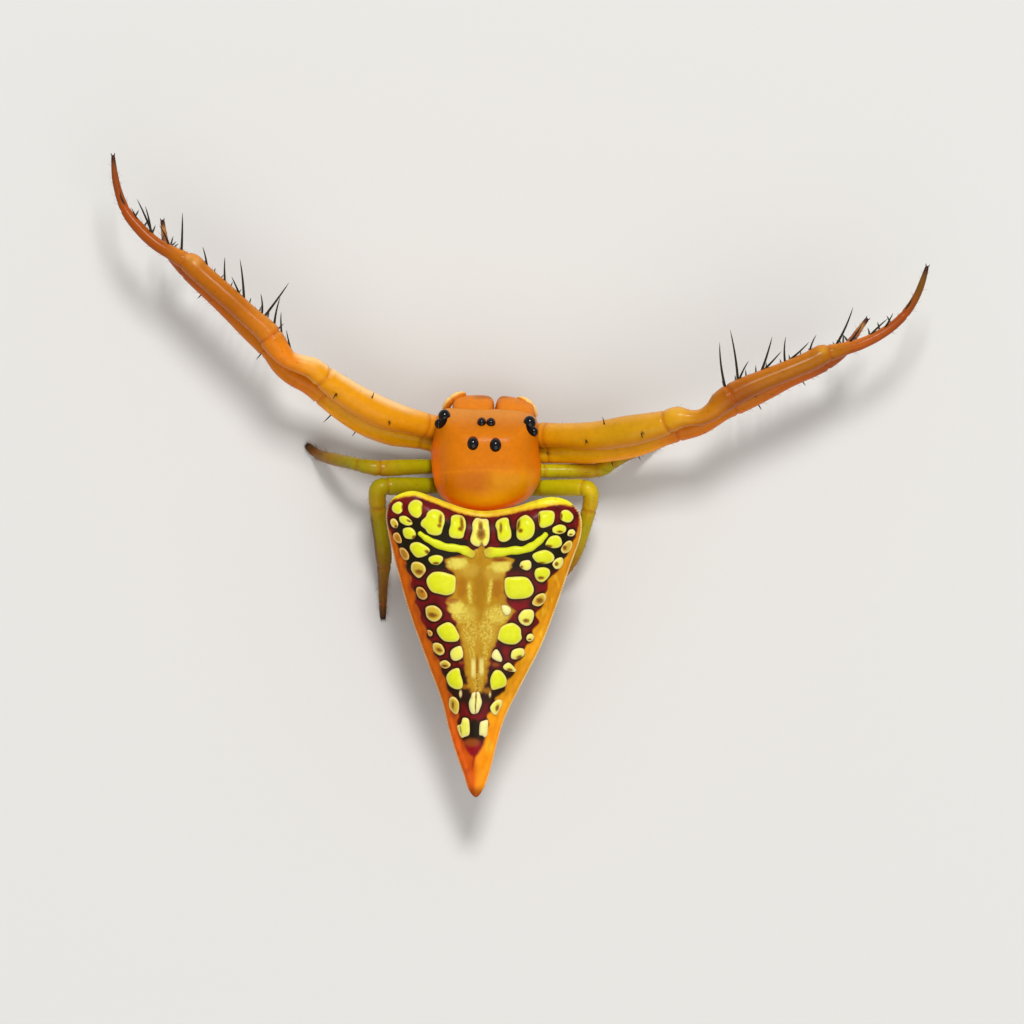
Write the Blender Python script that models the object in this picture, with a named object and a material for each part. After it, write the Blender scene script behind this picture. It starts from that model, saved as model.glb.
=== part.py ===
# A studded triangular spider, life size, still, in the pose of the photograph.
# +Z is up, the floor is z = 0, the head points along -Y and the spider's left is +X.
# Every body is worked out in millimetres and turned into metres when it is finished.

import math
import random

import bpy
import bmesh
from mathutils import Matrix, Vector

# Scale and frame
BODY_LENGTH_MM = 9.0
BODY_LENGTH_PX = 402.0
MM_PER_PX = BODY_LENGTH_MM / BODY_LENGTH_PX
MID_PX_X = 519.76
MID_PX_Y = 476.62
METRES_PER_MM = 0.001
JOINT_GAP = 0.05
SEED = 41
WELDS = (0.003, 0.002, 0.0012, 0.0006, 0.0002)

# Heights above the floor, in mm
CARAPACE_UNDER = 1.50
CARAPACE_EDGE = 1.56
CARAPACE_RISE = 1.14
CARAPACE_REAR_RISE = 0.86
STERNUM_TOP = 1.42
STERNUM_DEPTH = 0.56
RIM_FRONT = 2.98
RIM_TAIL = 1.80
DORSUM_RISE_FRONT = 0.50
DORSUM_RISE_TAIL = 0.30
BELLY_DEPTH_FRONT = 1.80
BELLY_DEPTH_TAIL = 0.36

# The back of the head is flatter than its front, which falls away below the brow
CARAPACE_REAR_PX = 462.0
CARAPACE_BACK_PX = 512.0
CARAPACE_BROW_PX = 438.0
CARAPACE_BROW_REACH = 29.0
CARAPACE_BROW_FALL = 0.52
CARAPACE_BEND_FRONT = 3.8
CARAPACE_BEND_REAR = 14.0

# Plan outlines, in pixels of the photograph
CARAPACE_CENTRE = (486.0, 461.0)
CARAPACE_OUTLINE = [
    (487, 409), (505, 409), (520, 410.5), (531, 414), (537, 420), (538.5, 430),
    (538.5, 443), (540, 456), (541.5, 469), (540, 480), (535.5, 490), (528, 498.5),
    (516, 505.5), (501, 511), (484, 513), (467, 511), (452, 505.5), (442, 498),
    (436, 488), (433, 477), (431.5, 466), (431, 455), (431.5, 446), (434, 434),
    (435.5, 424), (437, 416), (441, 410.5), (450, 408), (468, 408.5),
]
ABDOMEN_CENTRE = (484.0, 578.0)
ABDOMEN_OUTLINE = [
    (483, 511), (500, 509.5), (516, 506.5), (533, 501), (550, 497), (565, 499.4),
    (575.4, 507), (581.2, 518), (580.4, 537), (571, 564), (557.5, 603), (542, 644),
    (522.6, 682), (505.6, 716), (498, 740), (493, 760), (488.4, 777), (483, 789.5),
    (476, 797.5), (468.6, 789.5), (461.6, 770), (454.6, 750), (448.2, 728), (441.2, 700),
    (427.2, 662), (410.2, 615), (399.4, 578), (390, 540), (386, 517), (390, 502),
    (400, 494), (414, 491), (431, 496), (449, 503), (466, 508.5),
]
ABDOMEN_FRONT_PX = 497.0
ABDOMEN_TAIL_PX = 797.0
STERNUM_CENTRE = (486.0, 465.0)
STERNUM_OUTLINE = [
    (487, 438), (499, 441), (506, 449), (508.5, 463), (506, 478), (498, 492),
    (486, 499), (475, 491), (466, 477), (463.5, 462), (465.5, 447), (474, 439.5),
]
LABIUM_CENTRE = (487.0, 434.0)
LABIUM_HALF = (6.4, 2.8)
MAXILLA_LEFT_CENTRE = (474.5, 433.6)
MAXILLA_RIGHT_CENTRE = (500.2, 434.6)
MAXILLA_HALF = (5.0, 4.2)

# Eyes: name, place in pixels, radius in mm, share of the radius sunk, extra drop in mm
EYES = [
    ("eye_posterior_median_left", (473.0, 444.0), 0.135, 0.35, 0.0),
    ("eye_posterior_median_right", (495.5, 445.5), 0.140, 0.35, 0.0),
    ("eye_anterior_median_left", (481.8, 422.8), 0.092, 0.15, 0.0),
    ("eye_anterior_median_right", (491.2, 422.8), 0.092, 0.15, 0.0),
    ("eye_anterior_lateral_left", (443.2, 415.0), 0.125, 0.20, 0.0),
    ("eye_anterior_lateral_right", (529.6, 421.8), 0.130, 0.20, 0.0),
    ("eye_posterior_lateral_left", (438.7, 423.8), 0.098, 0.10, 0.05),
    ("eye_posterior_lateral_right", (533.8, 431.7), 0.100, 0.10, 0.05),
]
SOCKET_GAP = 0.025
TUBERCLES = [((442.5, 417.5), 0.20, 9.0), ((530.5, 424.5), 0.20, 9.0)]

# Legs: pixel x, pixel y, height in mm, width in pixels; a joint falls on the listed points
LEG_1_LEFT = [
    (463, 437.5, 1.22, 14), (451, 432, 1.22, 18), (440, 428.5, 1.24, 20),
    (434, 427.3, 1.28, 17), (428, 426, 1.36, 22), (411, 421.4, 1.52, 26),
    (384, 413.4, 1.80, 30.5), (359, 401, 2.04, 29.5), (336, 386, 2.20, 26.5),
    (323.5, 376.6, 2.30, 23.5), (313, 368.8, 2.38, 21.5), (302, 364.6, 2.43, 19),
    (290.6, 360.4, 2.46, 18.5), (282.5, 353.6, 2.48, 21), (274.5, 343, 2.48, 24.5),
    (266, 331.2, 2.48, 23.5), (247, 314.4, 2.47, 21.5), (229, 297.9, 2.44, 21.6),
    (203, 275, 2.38, 21), (192.5, 265.2, 2.34, 22), (184.5, 260.4, 2.31, 18),
    (170, 252.2, 2.26, 14), (157, 244.4, 2.22, 13), (145, 234.2, 2.18, 12.5),
    (133, 221, 2.13, 11.5), (126.2, 211.6, 2.10, 10), (121.8, 202, 2.07, 9),
    (117.6, 189, 2.04, 7.8), (114.6, 174, 2.02, 6.5), (112.8, 154.5, 2.00, 3.6),
]
LEG_1_LEFT_JOINTS = (3, 9, 20)
LEG_1_RIGHT = [
    (510, 441, 1.22, 14), (522, 438, 1.22, 18), (533, 435.5, 1.24, 20),
    (539, 434.9, 1.28, 17), (545, 434.9, 1.36, 22), (561, 435.4, 1.52, 25),
    (594, 436, 1.80, 29), (626, 431.4, 2.02, 31.2), (643, 428.2, 2.12, 29.5),
    (659, 424.6, 2.20, 26.5), (668, 421.6, 2.27, 24), (678, 418, 2.36, 22.5),
    (690, 418, 2.42, 16.5), (702, 417, 2.45, 16.5), (713.2, 410.6, 2.48, 19),
    (723, 400.9, 2.48, 23.5), (740, 390.8, 2.48, 23.5), (763, 380.4, 2.47, 21),
    (787, 370.8, 2.44, 20), (809, 361.6, 2.38, 20.5), (820.5, 355.6, 2.35, 20.5),
    (829, 353.2, 2.32, 17), (846, 348.4, 2.26, 13.2), (862, 343.4, 2.20, 11.5),
    (880, 334.6, 2.14, 10.3), (896, 323.2, 2.10, 9.2), (908, 310.2, 2.07, 8.4),
    (917, 295.5, 2.04, 7.4), (922.8, 281, 2.02, 6.4), (927.6, 265.5, 2.00, 3.6),
]
LEG_1_RIGHT_JOINTS = (3, 10, 21)
LEG_2_LEFT = [
    (459, 453, 1.10, 13), (449, 449, 1.04, 16), (438, 445, 0.99, 17),
    (431, 442, 0.98, 14), (424, 439.6, 0.98, 18), (408, 436, 1.02, 23),
    (390, 432, 1.10, 26), (365, 422.5, 1.26, 26), (341, 407.5, 1.42, 25),
    (322, 393, 1.56, 23), (308, 383.4, 1.66, 21), (292, 375, 1.72, 20),
    (280.8, 365, 1.74, 20), (272.2, 351.6, 1.74, 21), (263.6, 343.2, 1.74, 21),
    (248.8, 329.8, 1.73, 19.5), (232, 312.6, 1.71, 19), (214, 295.4, 1.67, 18),
    (197.6, 280, 1.62, 18), (186.8, 270, 1.59, 16.5), (177.2, 261.8, 1.56, 12.5),
    (170, 253.8, 1.53, 10), (165.6, 245, 1.50, 7.4), (163.4, 232, 1.48, 5.8),
    (161.8, 219, 1.47, 4.2),
]
LEG_2_LEFT_JOINTS = (3, 9, 19)
LEG_2_RIGHT = [
    (513, 456, 1.10, 13), (523, 455, 1.04, 16), (533, 454, 0.99, 17),
    (539, 453.6, 0.98, 14), (546, 453.2, 0.98, 18), (562.5, 452, 1.02, 22.5),
    (594, 451.2, 1.12, 24.5), (628, 446.6, 1.30, 24), (646, 442, 1.42, 23),
    (663, 435.4, 1.54, 22), (678.2, 431, 1.63, 21), (694, 427.6, 1.70, 19.5),
    (704.8, 422.9, 1.72, 19.5), (715, 416, 1.74, 20), (725, 409.4, 1.74, 20.5),
    (745, 401.4, 1.73, 19), (767, 390.4, 1.71, 18.5), (789.8, 378.2, 1.67, 18),
    (812.2, 368.6, 1.62, 17.5), (826, 362.4, 1.59, 15.5), (839.6, 354.4, 1.56, 12),
    (848, 346.4, 1.53, 9.6), (854.6, 337, 1.50, 7.2), (861.2, 327.5, 1.48, 5.6),
    (868.4, 317.8, 1.47, 4.2),
]
LEG_2_RIGHT_JOINTS = (3, 10, 19)
LEG_3_LEFT = [
    (460, 468, 1.08, 12), (450, 467.2, 1.06, 13.5), (441, 466.6, 1.05, 14),
    (437, 466.4, 1.06, 12), (432, 466.3, 1.08, 14.2), (410, 466.9, 1.30, 15.6),
    (393, 467.8, 1.46, 16.4), (379, 468, 1.56, 15.8), (369, 466.9, 1.58, 14.8),
    (360, 465.2, 1.50, 13.6), (350, 462.6, 1.28, 12.8), (341, 460.9, 1.04, 12.6),
    (333, 459, 0.80, 12.4), (325, 457, 0.50, 11.2), (318, 454.4, 0.22, 10),
    (313, 451.2, 0.085, 9), (309, 447.8, 0.072, 8), (304.8, 444, 0.052, 6.5),
]
LEG_3_LEFT_JOINTS = (3, 7, 12)
LEG_3_RIGHT = [
    (512, 471.4, 1.08, 12), (522, 471.2, 1.06, 13.5), (531, 471, 1.05, 14),
    (535.5, 470.9, 1.06, 12), (541, 470.8, 1.06, 14), (562, 470.9, 1.05, 14.6),
    (582, 471, 1.00, 14.6), (595, 470.4, 0.95, 14.6), (604, 468, 0.89, 14.4),
    (611, 463.5, 0.80, 13.8), (619, 458.5, 0.68, 13.4), (628, 454, 0.55, 12.8),
    (636, 451, 0.42, 12), (643, 448.5, 0.30, 11), (650, 446, 0.16, 10),
    (655.5, 443.5, 0.083, 9), (660.5, 441, 0.072, 8), (665.5, 438, 0.052, 6.5),
]
LEG_3_RIGHT_JOINTS = (3, 7, 12)
LEG_4_LEFT = [
    (462, 483.5, 1.08, 12.5), (453, 484.5, 1.06, 14.5), (444, 485, 1.05, 15.5),
    (439, 485.2, 1.06, 13.5), (433, 485.6, 1.09, 16), (411, 486.2, 1.30, 18),
    (396, 486.2, 1.44, 18), (386, 486.4, 1.51, 18), (378.6, 488.8, 1.55, 18.2),
    (377, 496, 1.51, 17.5), (377.4, 506, 1.41, 17), (378.6, 521, 1.22, 16.4),
    (380.8, 537, 1.03, 16), (382.9, 552, 0.84, 17), (383.5, 564.5, 0.66, 14.8),
    (382.8, 579, 0.42, 10.8), (382.4, 594, 0.17, 8.8), (382.3, 604.5, 0.080, 7.8),
    (382.3, 612.5, 0.064, 6.8), (382.6, 620.5, 0.048, 5.6),
]
LEG_4_LEFT_JOINTS = (3, 7, 14)
LEG_4_RIGHT = [
    (510, 486.5, 1.08, 12.5), (518, 487.5, 1.06, 14.5), (527, 488, 1.05, 15.5),
    (532, 488, 1.06, 13.5), (538, 488, 1.09, 16), (560, 487.8, 1.30, 17),
    (574, 487.5, 1.44, 17), (583.4, 487.8, 1.51, 17), (590, 491, 1.54, 16.5),
    (591, 499, 1.49, 15.5), (589.2, 509, 1.38, 15), (585.6, 523, 1.20, 14.2),
    (581.2, 538, 1.02, 13.6), (576.4, 552, 0.84, 12.8), (570, 564.5, 0.63, 11.6),
    (561, 575.5, 0.41, 10.6), (552.4, 585.5, 0.19, 9.5), (546.4, 592.5, 0.080, 8.5),
    (541.8, 597.6, 0.068, 7.5), (537.2, 602.6, 0.050, 6.2),
]
LEG_4_RIGHT_JOINTS = (3, 7, 14)
LEG_DEPTH = 1.08
FRONT_LEG_SIDES = 10
HIND_LEG_SIDES = 8
SEGMENTS = ("coxa", "femur", "tibia", "foot")

# Studs: pixel x, pixel y, half width, half length, turn in degrees, sides
STUDS = [
    (397.5, 507.5, 6.0, 6.2, 0, 8), (415.8, 508.6, 7.4, 8.8, -15, 8),
    (433.0, 522.0, 11.3, 13.0, 20, 10), (457.5, 527.0, 8.0, 11.6, 0, 8),
    (481.0, 531.5, 9.0, 13.6, 0, 10), (503.6, 530.0, 7.8, 11.8, 0, 8),
    (525.3, 527.8, 9.2, 12.6, 10, 10), (546.8, 519.0, 8.0, 8.6, 20, 8), (566.5, 516.6, 6.8, 6.2, 20, 8),
    (405.9, 520.9, 6.8, 4.4, 30, 6), (394.4, 523.0, 3.2, 4.4, -20, 6), (409.3, 532.8, 6.6, 6.0, 15, 8),
    (397.4, 538.0, 4.0, 5.4, -20, 6), (419.4, 550.0, 10.0, 7.4, 12, 8),
    (404.4, 554.0, 4.2, 6.0, -25, 6), (436.0, 560.0, 8.0, 4.8, -10, 8), (418.2, 568.4, 6.8, 7.0, 0, 8),
    (441.0, 583.0, 14.6, 11.6, 6, 10), (421.8, 592.6, 5.0, 7.4, -30, 8), (433.8, 613.0, 7.8, 8.2, 0, 8),
    (448.0, 632.5, 11.5, 9.8, -10, 10), (430.0, 632.0, 2.8, 2.8, 0, 6), (438.0, 649.0, 6.0, 6.0, 0, 8),
    (457.0, 653.0, 5.8, 7.0, 0, 8), (445.0, 664.4, 5.4, 3.8, 15, 6), (455.0, 679.0, 8.2, 10.6, 10, 8),
    (453.2, 705.5, 5.2, 8.8, 5, 8), (463.0, 728.0, 5.6, 9.8, 12, 8), (559.0, 529.3, 6.8, 4.6, -22, 8),
    (571.2, 533.0, 4.0, 4.0, 0, 6), (553.7, 541.6, 8.2, 6.4, -25, 8), (566.4, 547.0, 4.8, 7.0, 30, 8),
    (543.0, 556.8, 10.6, 6.8, -10, 8), (557.8, 563.4, 4.8, 6.2, 25, 6),
    (525.5, 565.0, 6.0, 4.8, -10, 6), (542.0, 574.2, 7.8, 7.0, 0, 8), (518.6, 587.8, 14.4, 11.2, 4, 10),
    (539.2, 599.6, 6.0, 6.8, 35, 8), (506.0, 610.0, 5.0, 5.0, 0, 6), (526.0, 616.6, 7.8, 8.2, 0, 8),
    (510.2, 633.6, 11.8, 10.2, 10, 10), (530.0, 638.5, 4.4, 4.4, 0, 6), (518.0, 655.0, 6.5, 6.5, 0, 8),
    (496.6, 656.0, 5.4, 6.0, 0, 8), (509.0, 667.5, 5.8, 4.2, -15, 6), (498.0, 680.0, 8.2, 9.8, -8, 8),
    (496.6, 706.6, 5.8, 7.2, 0, 8), (483.0, 729.0, 4.4, 8.6, -8, 8), (475.6, 703.0, 6.6, 9.6, 0, 8),
]
BANDS = [
    [(418.5, 531.5, 3.0), (429.0, 541.5, 5.4), (443.0, 546.8, 5.6), (457.5, 548.8, 6.2), (470.5, 552.4, 5.0)],
    [(546.5, 534.0, 3.6), (535.0, 543.4, 6.0), (521.0, 550.0, 6.0), (507.0, 550.8, 5.6), (491.5, 555.0, 6.0)],
]
STUD_SUNK = 0.12
STUD_EDGE = 0.025
STUD_RISE = 0.075

# Spines in plan: base pixel, tip pixel, height of the tip above the leg's middle in mm
SPINE_ROOT = 0.055
SPINE_MIDDLE = 0.55
LONG_SPINES = {
    "leg_1_left": [
        ((290.7, 348.3), (286.5, 330.0), 0.12), ((282.0, 329.0), (281.4, 312.0), 0.18),
        ((275.7, 321.0), (280.5, 297.5), 0.25), ((261.5, 310.5), (261.0, 294.0), 0.38),
        ((266.0, 314.5), (289.0, 283.0), 0.05), ((243.6, 298.0), (240.2, 259.5), 0.12),
        ((238.5, 292.0), (232.0, 277.0), 0.35), ((225.2, 281.5), (225.0, 257.5), 0.20),
        ((206.5, 264.5), (203.0, 247.0), 0.25), ((181.4, 252.2), (182.6, 213.0), 0.10),
        ((168.0, 243.0), (160.0, 226.0), 0.28), ((153.0, 236.0), (137.0, 199.0), 0.08),
        ((150.5, 234.0), (145.5, 206.5), 0.28), ((140.0, 224.0), (131.5, 208.0), 0.12),
        ((128.0, 211.0), (119.5, 190.5), 0.16),
    ],
    "leg_1_right": [
        ((725.0, 383.0), (719.5, 342.5), 0.12), ((737.0, 378.0), (730.0, 330.0), 0.08),
        ((741.0, 377.0), (748.5, 361.0), 0.30), ((762.0, 368.5), (772.0, 337.0), 0.10),
        ((767.5, 366.0), (781.0, 351.5), 0.25), ((785.5, 359.5), (785.5, 337.0), 0.18),
        ((791.0, 358.0), (809.0, 342.0), 0.15), ((811.0, 349.5), (816.0, 335.0), 0.28),
        ((835.0, 345.5), (853.0, 307.0), 0.08), ((849.5, 341.5), (862.0, 324.0), 0.30),
        ((868.5, 338.0), (888.0, 318.5), 0.12), ((884.0, 328.5), (893.0, 313.0), 0.26),
        ((903.0, 312.5), (912.0, 298.5), 0.14),
    ],
}
FEMUR_SPINES = {
    "leg_1_left": [((336.7, 395.0), 0.34), ((390.0, 421.7), 0.30), ((372.0, 396.0), 0.26)],
    "leg_1_right": [((587.0, 441.0), 0.30), ((642.5, 434.0), 0.34), ((603.0, 421.0), 0.26)],
}
REAR_SPINES = {
    "leg_2_left": [((332.0, 417.0), (323.0, 422.5)), ((357.0, 431.0), (351.5, 436.5)),
                   ((262.0, 352.0), (256.0, 359.5)), ((203.5, 292.0), (197.0, 298.5))],
    "leg_2_right": [((635.5, 454.0), (641.0, 460.5)), ((611.0, 460.0), (613.5, 467.0)),
                    ((757.0, 402.0), (762.0, 410.0)), ((800.0, 378.0), (806.0, 385.5))],
}
LOWER_ROW = {"tibia": 6, "foot": 3}
LOWER_SPINE_LENGTH = 0.62
LOWER_SPINE_SLOPE = 1.9

# Colours
CUTICLE = (0.80, 0.30, 0.01)
HIND_CUTICLE = (0.50, 0.40, 0.02)
DORSUM = (0.75, 0.22, 0.02)
BLACK = (0.01, 0.008, 0.008)

for old in list(bpy.data.objects):
    bpy.data.objects.remove(old, do_unlink=True)
rng = random.Random(SEED)


def place(px, py, z):
    return Vector((-(px - MID_PX_X) * MM_PER_PX, (py - MID_PX_Y) * MM_PER_PX, z))


def smoothstep(low, high, value):
    t = min(1.0, max(0.0, (value - low) / (high - low)))
    return t * t * (3.0 - 2.0 * t)


def lerp(a, b, t):
    return a + (b - a) * t


def catmull(points, closed, per_span):
    # Points of a smooth curve through the given ones, with the index each span starts at
    n = len(points)
    spans = n if closed else n - 1
    out = []
    for i in range(spans):
        if closed:
            four = [points[(i + k) % n] for k in (-1, 0, 1, 2)]
        else:
            four = [points[min(n - 1, max(0, i + k))] for k in (-1, 0, 1, 2)]
        for step in range(per_span):
            t = step / per_span
            a = -0.5 * t + t * t - 0.5 * t * t * t
            b = 1.0 - 2.5 * t * t + 1.5 * t * t * t
            c = 0.5 * t + 2.0 * t * t - 1.5 * t * t * t
            d = -0.5 * t * t + 0.5 * t * t * t
            out.append(tuple(
                a * four[0][k] + b * four[1][k] + c * four[2][k] + d * four[3][k]
                for k in range(len(points[0]))
            ))
    if not closed:
        out.append(tuple(float(v) for v in points[-1]))
    return out


def even_outline(points, count):
    # The closed curve through the points, divided into equal lengths
    dense = catmull(points, True, 12)
    lengths = [0.0]
    for i in range(len(dense)):
        p = dense[i]
        q = dense[(i + 1) % len(dense)]
        lengths.append(lengths[-1] + math.hypot(q[0] - p[0], q[1] - p[1]))
    out = []
    k = 0
    for i in range(count):
        goal = lengths[-1] * i / count
        while lengths[k + 1] < goal:
            k += 1
        t = (goal - lengths[k]) / (lengths[k + 1] - lengths[k])
        p = dense[k]
        q = dense[(k + 1) % len(dense)]
        out.append((lerp(p[0], q[0], t), lerp(p[1], q[1], t)))
    return out


def share_of_edge(outline, centre, px, py):
    # 0 at the centre, 1 on the outline
    dx = px - centre[0]
    dy = py - centre[1]
    if abs(dx) + abs(dy) < 1e-9:
        return 0.0
    best = None
    for i in range(len(outline)):
        ax = outline[i][0] - centre[0]
        ay = outline[i][1] - centre[1]
        bx = outline[(i + 1) % len(outline)][0] - centre[0]
        by = outline[(i + 1) % len(outline)][1] - centre[1]
        det = dx * (ay - by) - dy * (ax - bx)
        if abs(det) < 1e-12:
            continue
        r = (ax * (ay - by) - ay * (ax - bx)) / det
        u = (dx * ay - dy * ax) / det
        if r > 0.0 and -1e-9 <= u <= 1.0 + 1e-9:
            if best is None or r < best:
                best = r
    return 1.0 / best


def finish(name, bm, colour, roughness=0.35):
    # One closed triangulated body in metres with its own material
    bmesh.ops.triangulate(bm, faces=bm.faces[:])
    bmesh.ops.recalc_face_normals(bm, faces=bm.faces[:])
    mesh = bpy.data.meshes.new(name)
    bm.to_mesh(mesh)
    bm.free()
    obj = bpy.data.objects.new(name, mesh)
    bpy.context.scene.collection.objects.link(obj)
    material = bpy.data.materials.new(name + "_look")
    material.use_nodes = True
    shader = material.node_tree.nodes["Principled BSDF"]
    shader.inputs["Base Color"].default_value = (*colour, 1.0)
    shader.inputs["Roughness"].default_value = roughness
    mesh.materials.append(material)
    return obj


def keep_largest(bm):
    left = set(bm.verts)
    groups = []
    while left:
        stack = [left.pop()]
        group = set(stack)
        while stack:
            for edge in stack.pop().link_edges:
                for vert in edge.verts:
                    if vert not in group:
                        group.add(vert)
                        left.discard(vert)
                        stack.append(vert)
        groups.append(group)
    groups.sort(key=len)
    for group in groups[:-1]:
        bmesh.ops.delete(bm, geom=list(group), context="VERTS")


def combine(obj, pieces, operation="UNION"):
    # One Boolean of the object with a collection of closed pieces
    if not pieces:
        return
    group = bpy.data.collections.new(obj.name + "_pieces")
    bpy.context.scene.collection.children.link(group)
    for bm in pieces:
        bmesh.ops.triangulate(bm, faces=bm.faces[:])
        bmesh.ops.recalc_face_normals(bm, faces=bm.faces[:])
        mesh = bpy.data.meshes.new("piece")
        bm.to_mesh(mesh)
        bm.free()
        group.objects.link(bpy.data.objects.new("piece", mesh))
    change = obj.modifiers.new("combine", "BOOLEAN")
    change.operation = operation
    change.solver = "EXACT"
    change.operand_type = "COLLECTION"
    change.collection = group
    bpy.context.view_layer.update()
    graph = bpy.context.evaluated_depsgraph_get()
    result = bpy.data.meshes.new_from_object(obj.evaluated_get(graph))
    obj.modifiers.clear()
    for piece in list(group.objects):
        bpy.data.objects.remove(piece, do_unlink=True)
    bpy.data.collections.remove(group)
    for weld in WELDS:
        bm = bmesh.new()
        bm.from_mesh(result)
        bmesh.ops.triangulate(bm, faces=bm.faces[:])
        bmesh.ops.dissolve_degenerate(bm, edges=bm.edges[:], dist=weld)
        keep_largest(bm)
        bmesh.ops.triangulate(bm, faces=bm.faces[:])
        bmesh.ops.recalc_face_normals(bm, faces=bm.faces[:])
        whole = all(len(edge.link_faces) == 2 for edge in bm.edges)
        if whole or weld == WELDS[-1]:
            bm.to_mesh(obj.data)
        bm.free()
        if whole:
            break
    bpy.data.meshes.remove(result)


def skin_rings(bm, rings):
    # Quads between successive rings of vertices, open at both ends
    for lower, upper in zip(rings[:-1], rings[1:]):
        n = len(lower)
        for k in range(n):
            bm.faces.new((lower[k], lower[(k + 1) % n], upper[(k + 1) % n], upper[k]))


def shield(outline, centre, levels_top, levels_under, top, under, count):
    # A body over a plan outline: rings that shrink to the centre on both faces
    bm = bmesh.new()
    edge = even_outline(outline, count)

    def ring(share, height):
        out = []
        for px, py in edge:
            x = lerp(centre[0], px, share)
            y = lerp(centre[1], py, share)
            out.append(bm.verts.new(place(x, y, height(x, y, share))))
        return out

    rim = ring(1.0, top)
    rings_top = [rim] + [ring(share, top) for share in levels_top]
    rings_under = [rim] + [ring(share, under) for share in levels_under]
    skin_rings(bm, rings_top)
    skin_rings(bm, rings_under[::-1])
    for rings, height in ((rings_top, top), (rings_under, under)):
        middle = bm.verts.new(place(centre[0], centre[1], height(centre[0], centre[1], 0.0)))
        last = rings[-1]
        for k in range(len(last)):
            bm.faces.new((last[k], last[(k + 1) % len(last)], middle))
    return bm


# Body surfaces

def carapace_top(px, py, share):
    rise = lerp(CARAPACE_RISE, CARAPACE_REAR_RISE, smoothstep(CARAPACE_REAR_PX, CARAPACE_BACK_PX, py))
    slope = min(1.0, max(0.0, (CARAPACE_BROW_PX - py) / CARAPACE_BROW_REACH))
    rise *= 1.0 - CARAPACE_BROW_FALL * slope ** 1.5
    bend = lerp(CARAPACE_BEND_FRONT, CARAPACE_BEND_REAR, smoothstep(CARAPACE_REAR_PX, CARAPACE_BACK_PX, py))
    z = CARAPACE_EDGE + rise * (1.0 - min(1.0, share) ** bend) ** 0.58
    for (bx, by), height, reach in TUBERCLES:
        d = math.hypot(px - bx, py - by) / reach
        z += height * math.exp(-d * d) * (1.0 - min(1.0, share) ** 10)
    return z


def carapace_under(px, py, share):
    return lerp(CARAPACE_UNDER, CARAPACE_EDGE, min(1.0, share) ** 6)


CARAPACE_EDGE_POINTS = even_outline(CARAPACE_OUTLINE, 48)


def carapace_height(px, py):
    share = share_of_edge(CARAPACE_EDGE_POINTS, CARAPACE_CENTRE, px, py)
    return carapace_top(px, py, share)


def along_abdomen(py):
    return min(1.0, max(0.0, (py - ABDOMEN_FRONT_PX) / (ABDOMEN_TAIL_PX - ABDOMEN_FRONT_PX)))


def abdomen_top(px, py, share):
    t = along_abdomen(py)
    rim = lerp(RIM_FRONT, RIM_TAIL, t)
    rise = lerp(DORSUM_RISE_FRONT, DORSUM_RISE_TAIL, t)
    return rim + rise * (1.0 - min(1.0, share) ** 4.5)


def abdomen_under(px, py, share):
    t = along_abdomen(py)
    rim = lerp(RIM_FRONT, RIM_TAIL, t)
    depth = lerp(BELLY_DEPTH_FRONT, BELLY_DEPTH_TAIL, smoothstep(0.10, 1.05, t) ** 0.8)
    return rim - depth * (1.0 - min(1.0, share) ** 2.9) ** 0.62


ABDOMEN_EDGE_POINTS = even_outline(ABDOMEN_OUTLINE, 60)


def abdomen_height(px, py):
    share = share_of_edge(ABDOMEN_EDGE_POINTS, ABDOMEN_CENTRE, px, py)
    return abdomen_top(px, py, share)


def belly_height(px, py):
    share = share_of_edge(ABDOMEN_EDGE_POINTS, ABDOMEN_CENTRE, px, py)
    return abdomen_under(px, py, share)


def stud(px, py, half_x, half_y, turn, sides):
    # A low convex boss that follows the back's surface, its root sunk into it
    bm = bmesh.new()
    c = math.cos(math.radians(turn))
    s = math.sin(math.radians(turn))
    rise = STUD_RISE * min(1.0, 0.45 + 0.05 * (half_x + half_y) * 0.5)

    def ring(scale, offset):
        out = []
        for k in range(sides):
            a = 2.0 * math.pi * k / sides
            u = half_x * scale * math.cos(a)
            v = half_y * scale * math.sin(a)
            x = px + u * c - v * s
            y = py + u * s + v * c
            out.append(bm.verts.new(place(x, y, abdomen_height(x, y) + offset)))
        return out

    rings = [ring(1.0, -STUD_SUNK), ring(1.0, STUD_EDGE)]
    if sides > 6:
        rings.append(ring(0.64, rise * 0.9))
    skin_rings(bm, rings)
    bm.faces.new(rings[0][::-1])
    peak = bm.verts.new(place(px, py, abdomen_height(px, py) + rise))
    for k in range(sides):
        bm.faces.new((rings[-1][k], rings[-1][(k + 1) % sides], peak))
    return bm


def band(points):
    # A raised bar across the front of the back
    bm = bmesh.new()
    dense = catmull(points, False, 2)
    rings = []
    for i, (px, py, wide) in enumerate(dense):
        a = dense[max(0, i - 1)]
        b = dense[min(len(dense) - 1, i + 1)]
        length = math.hypot(b[0] - a[0], b[1] - a[1])
        nx = -(b[1] - a[1]) / length
        ny = (b[0] - a[0]) / length
        ring = []
        for across, offset in (
            (-0.5, -STUD_SUNK), (-0.5, STUD_EDGE), (0.0, STUD_RISE * 0.85), (0.5, STUD_EDGE), (0.5, -STUD_SUNK),
        ):
            x = px + nx * wide * across
            y = py + ny * wide * across
            ring.append(bm.verts.new(place(x, y, abdomen_height(x, y) + offset)))
        rings.append(ring)
    skin_rings(bm, rings)
    bm.faces.new(rings[0][::-1])
    bm.faces.new(rings[-1])
    return bm


# Tubes along a path

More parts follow.
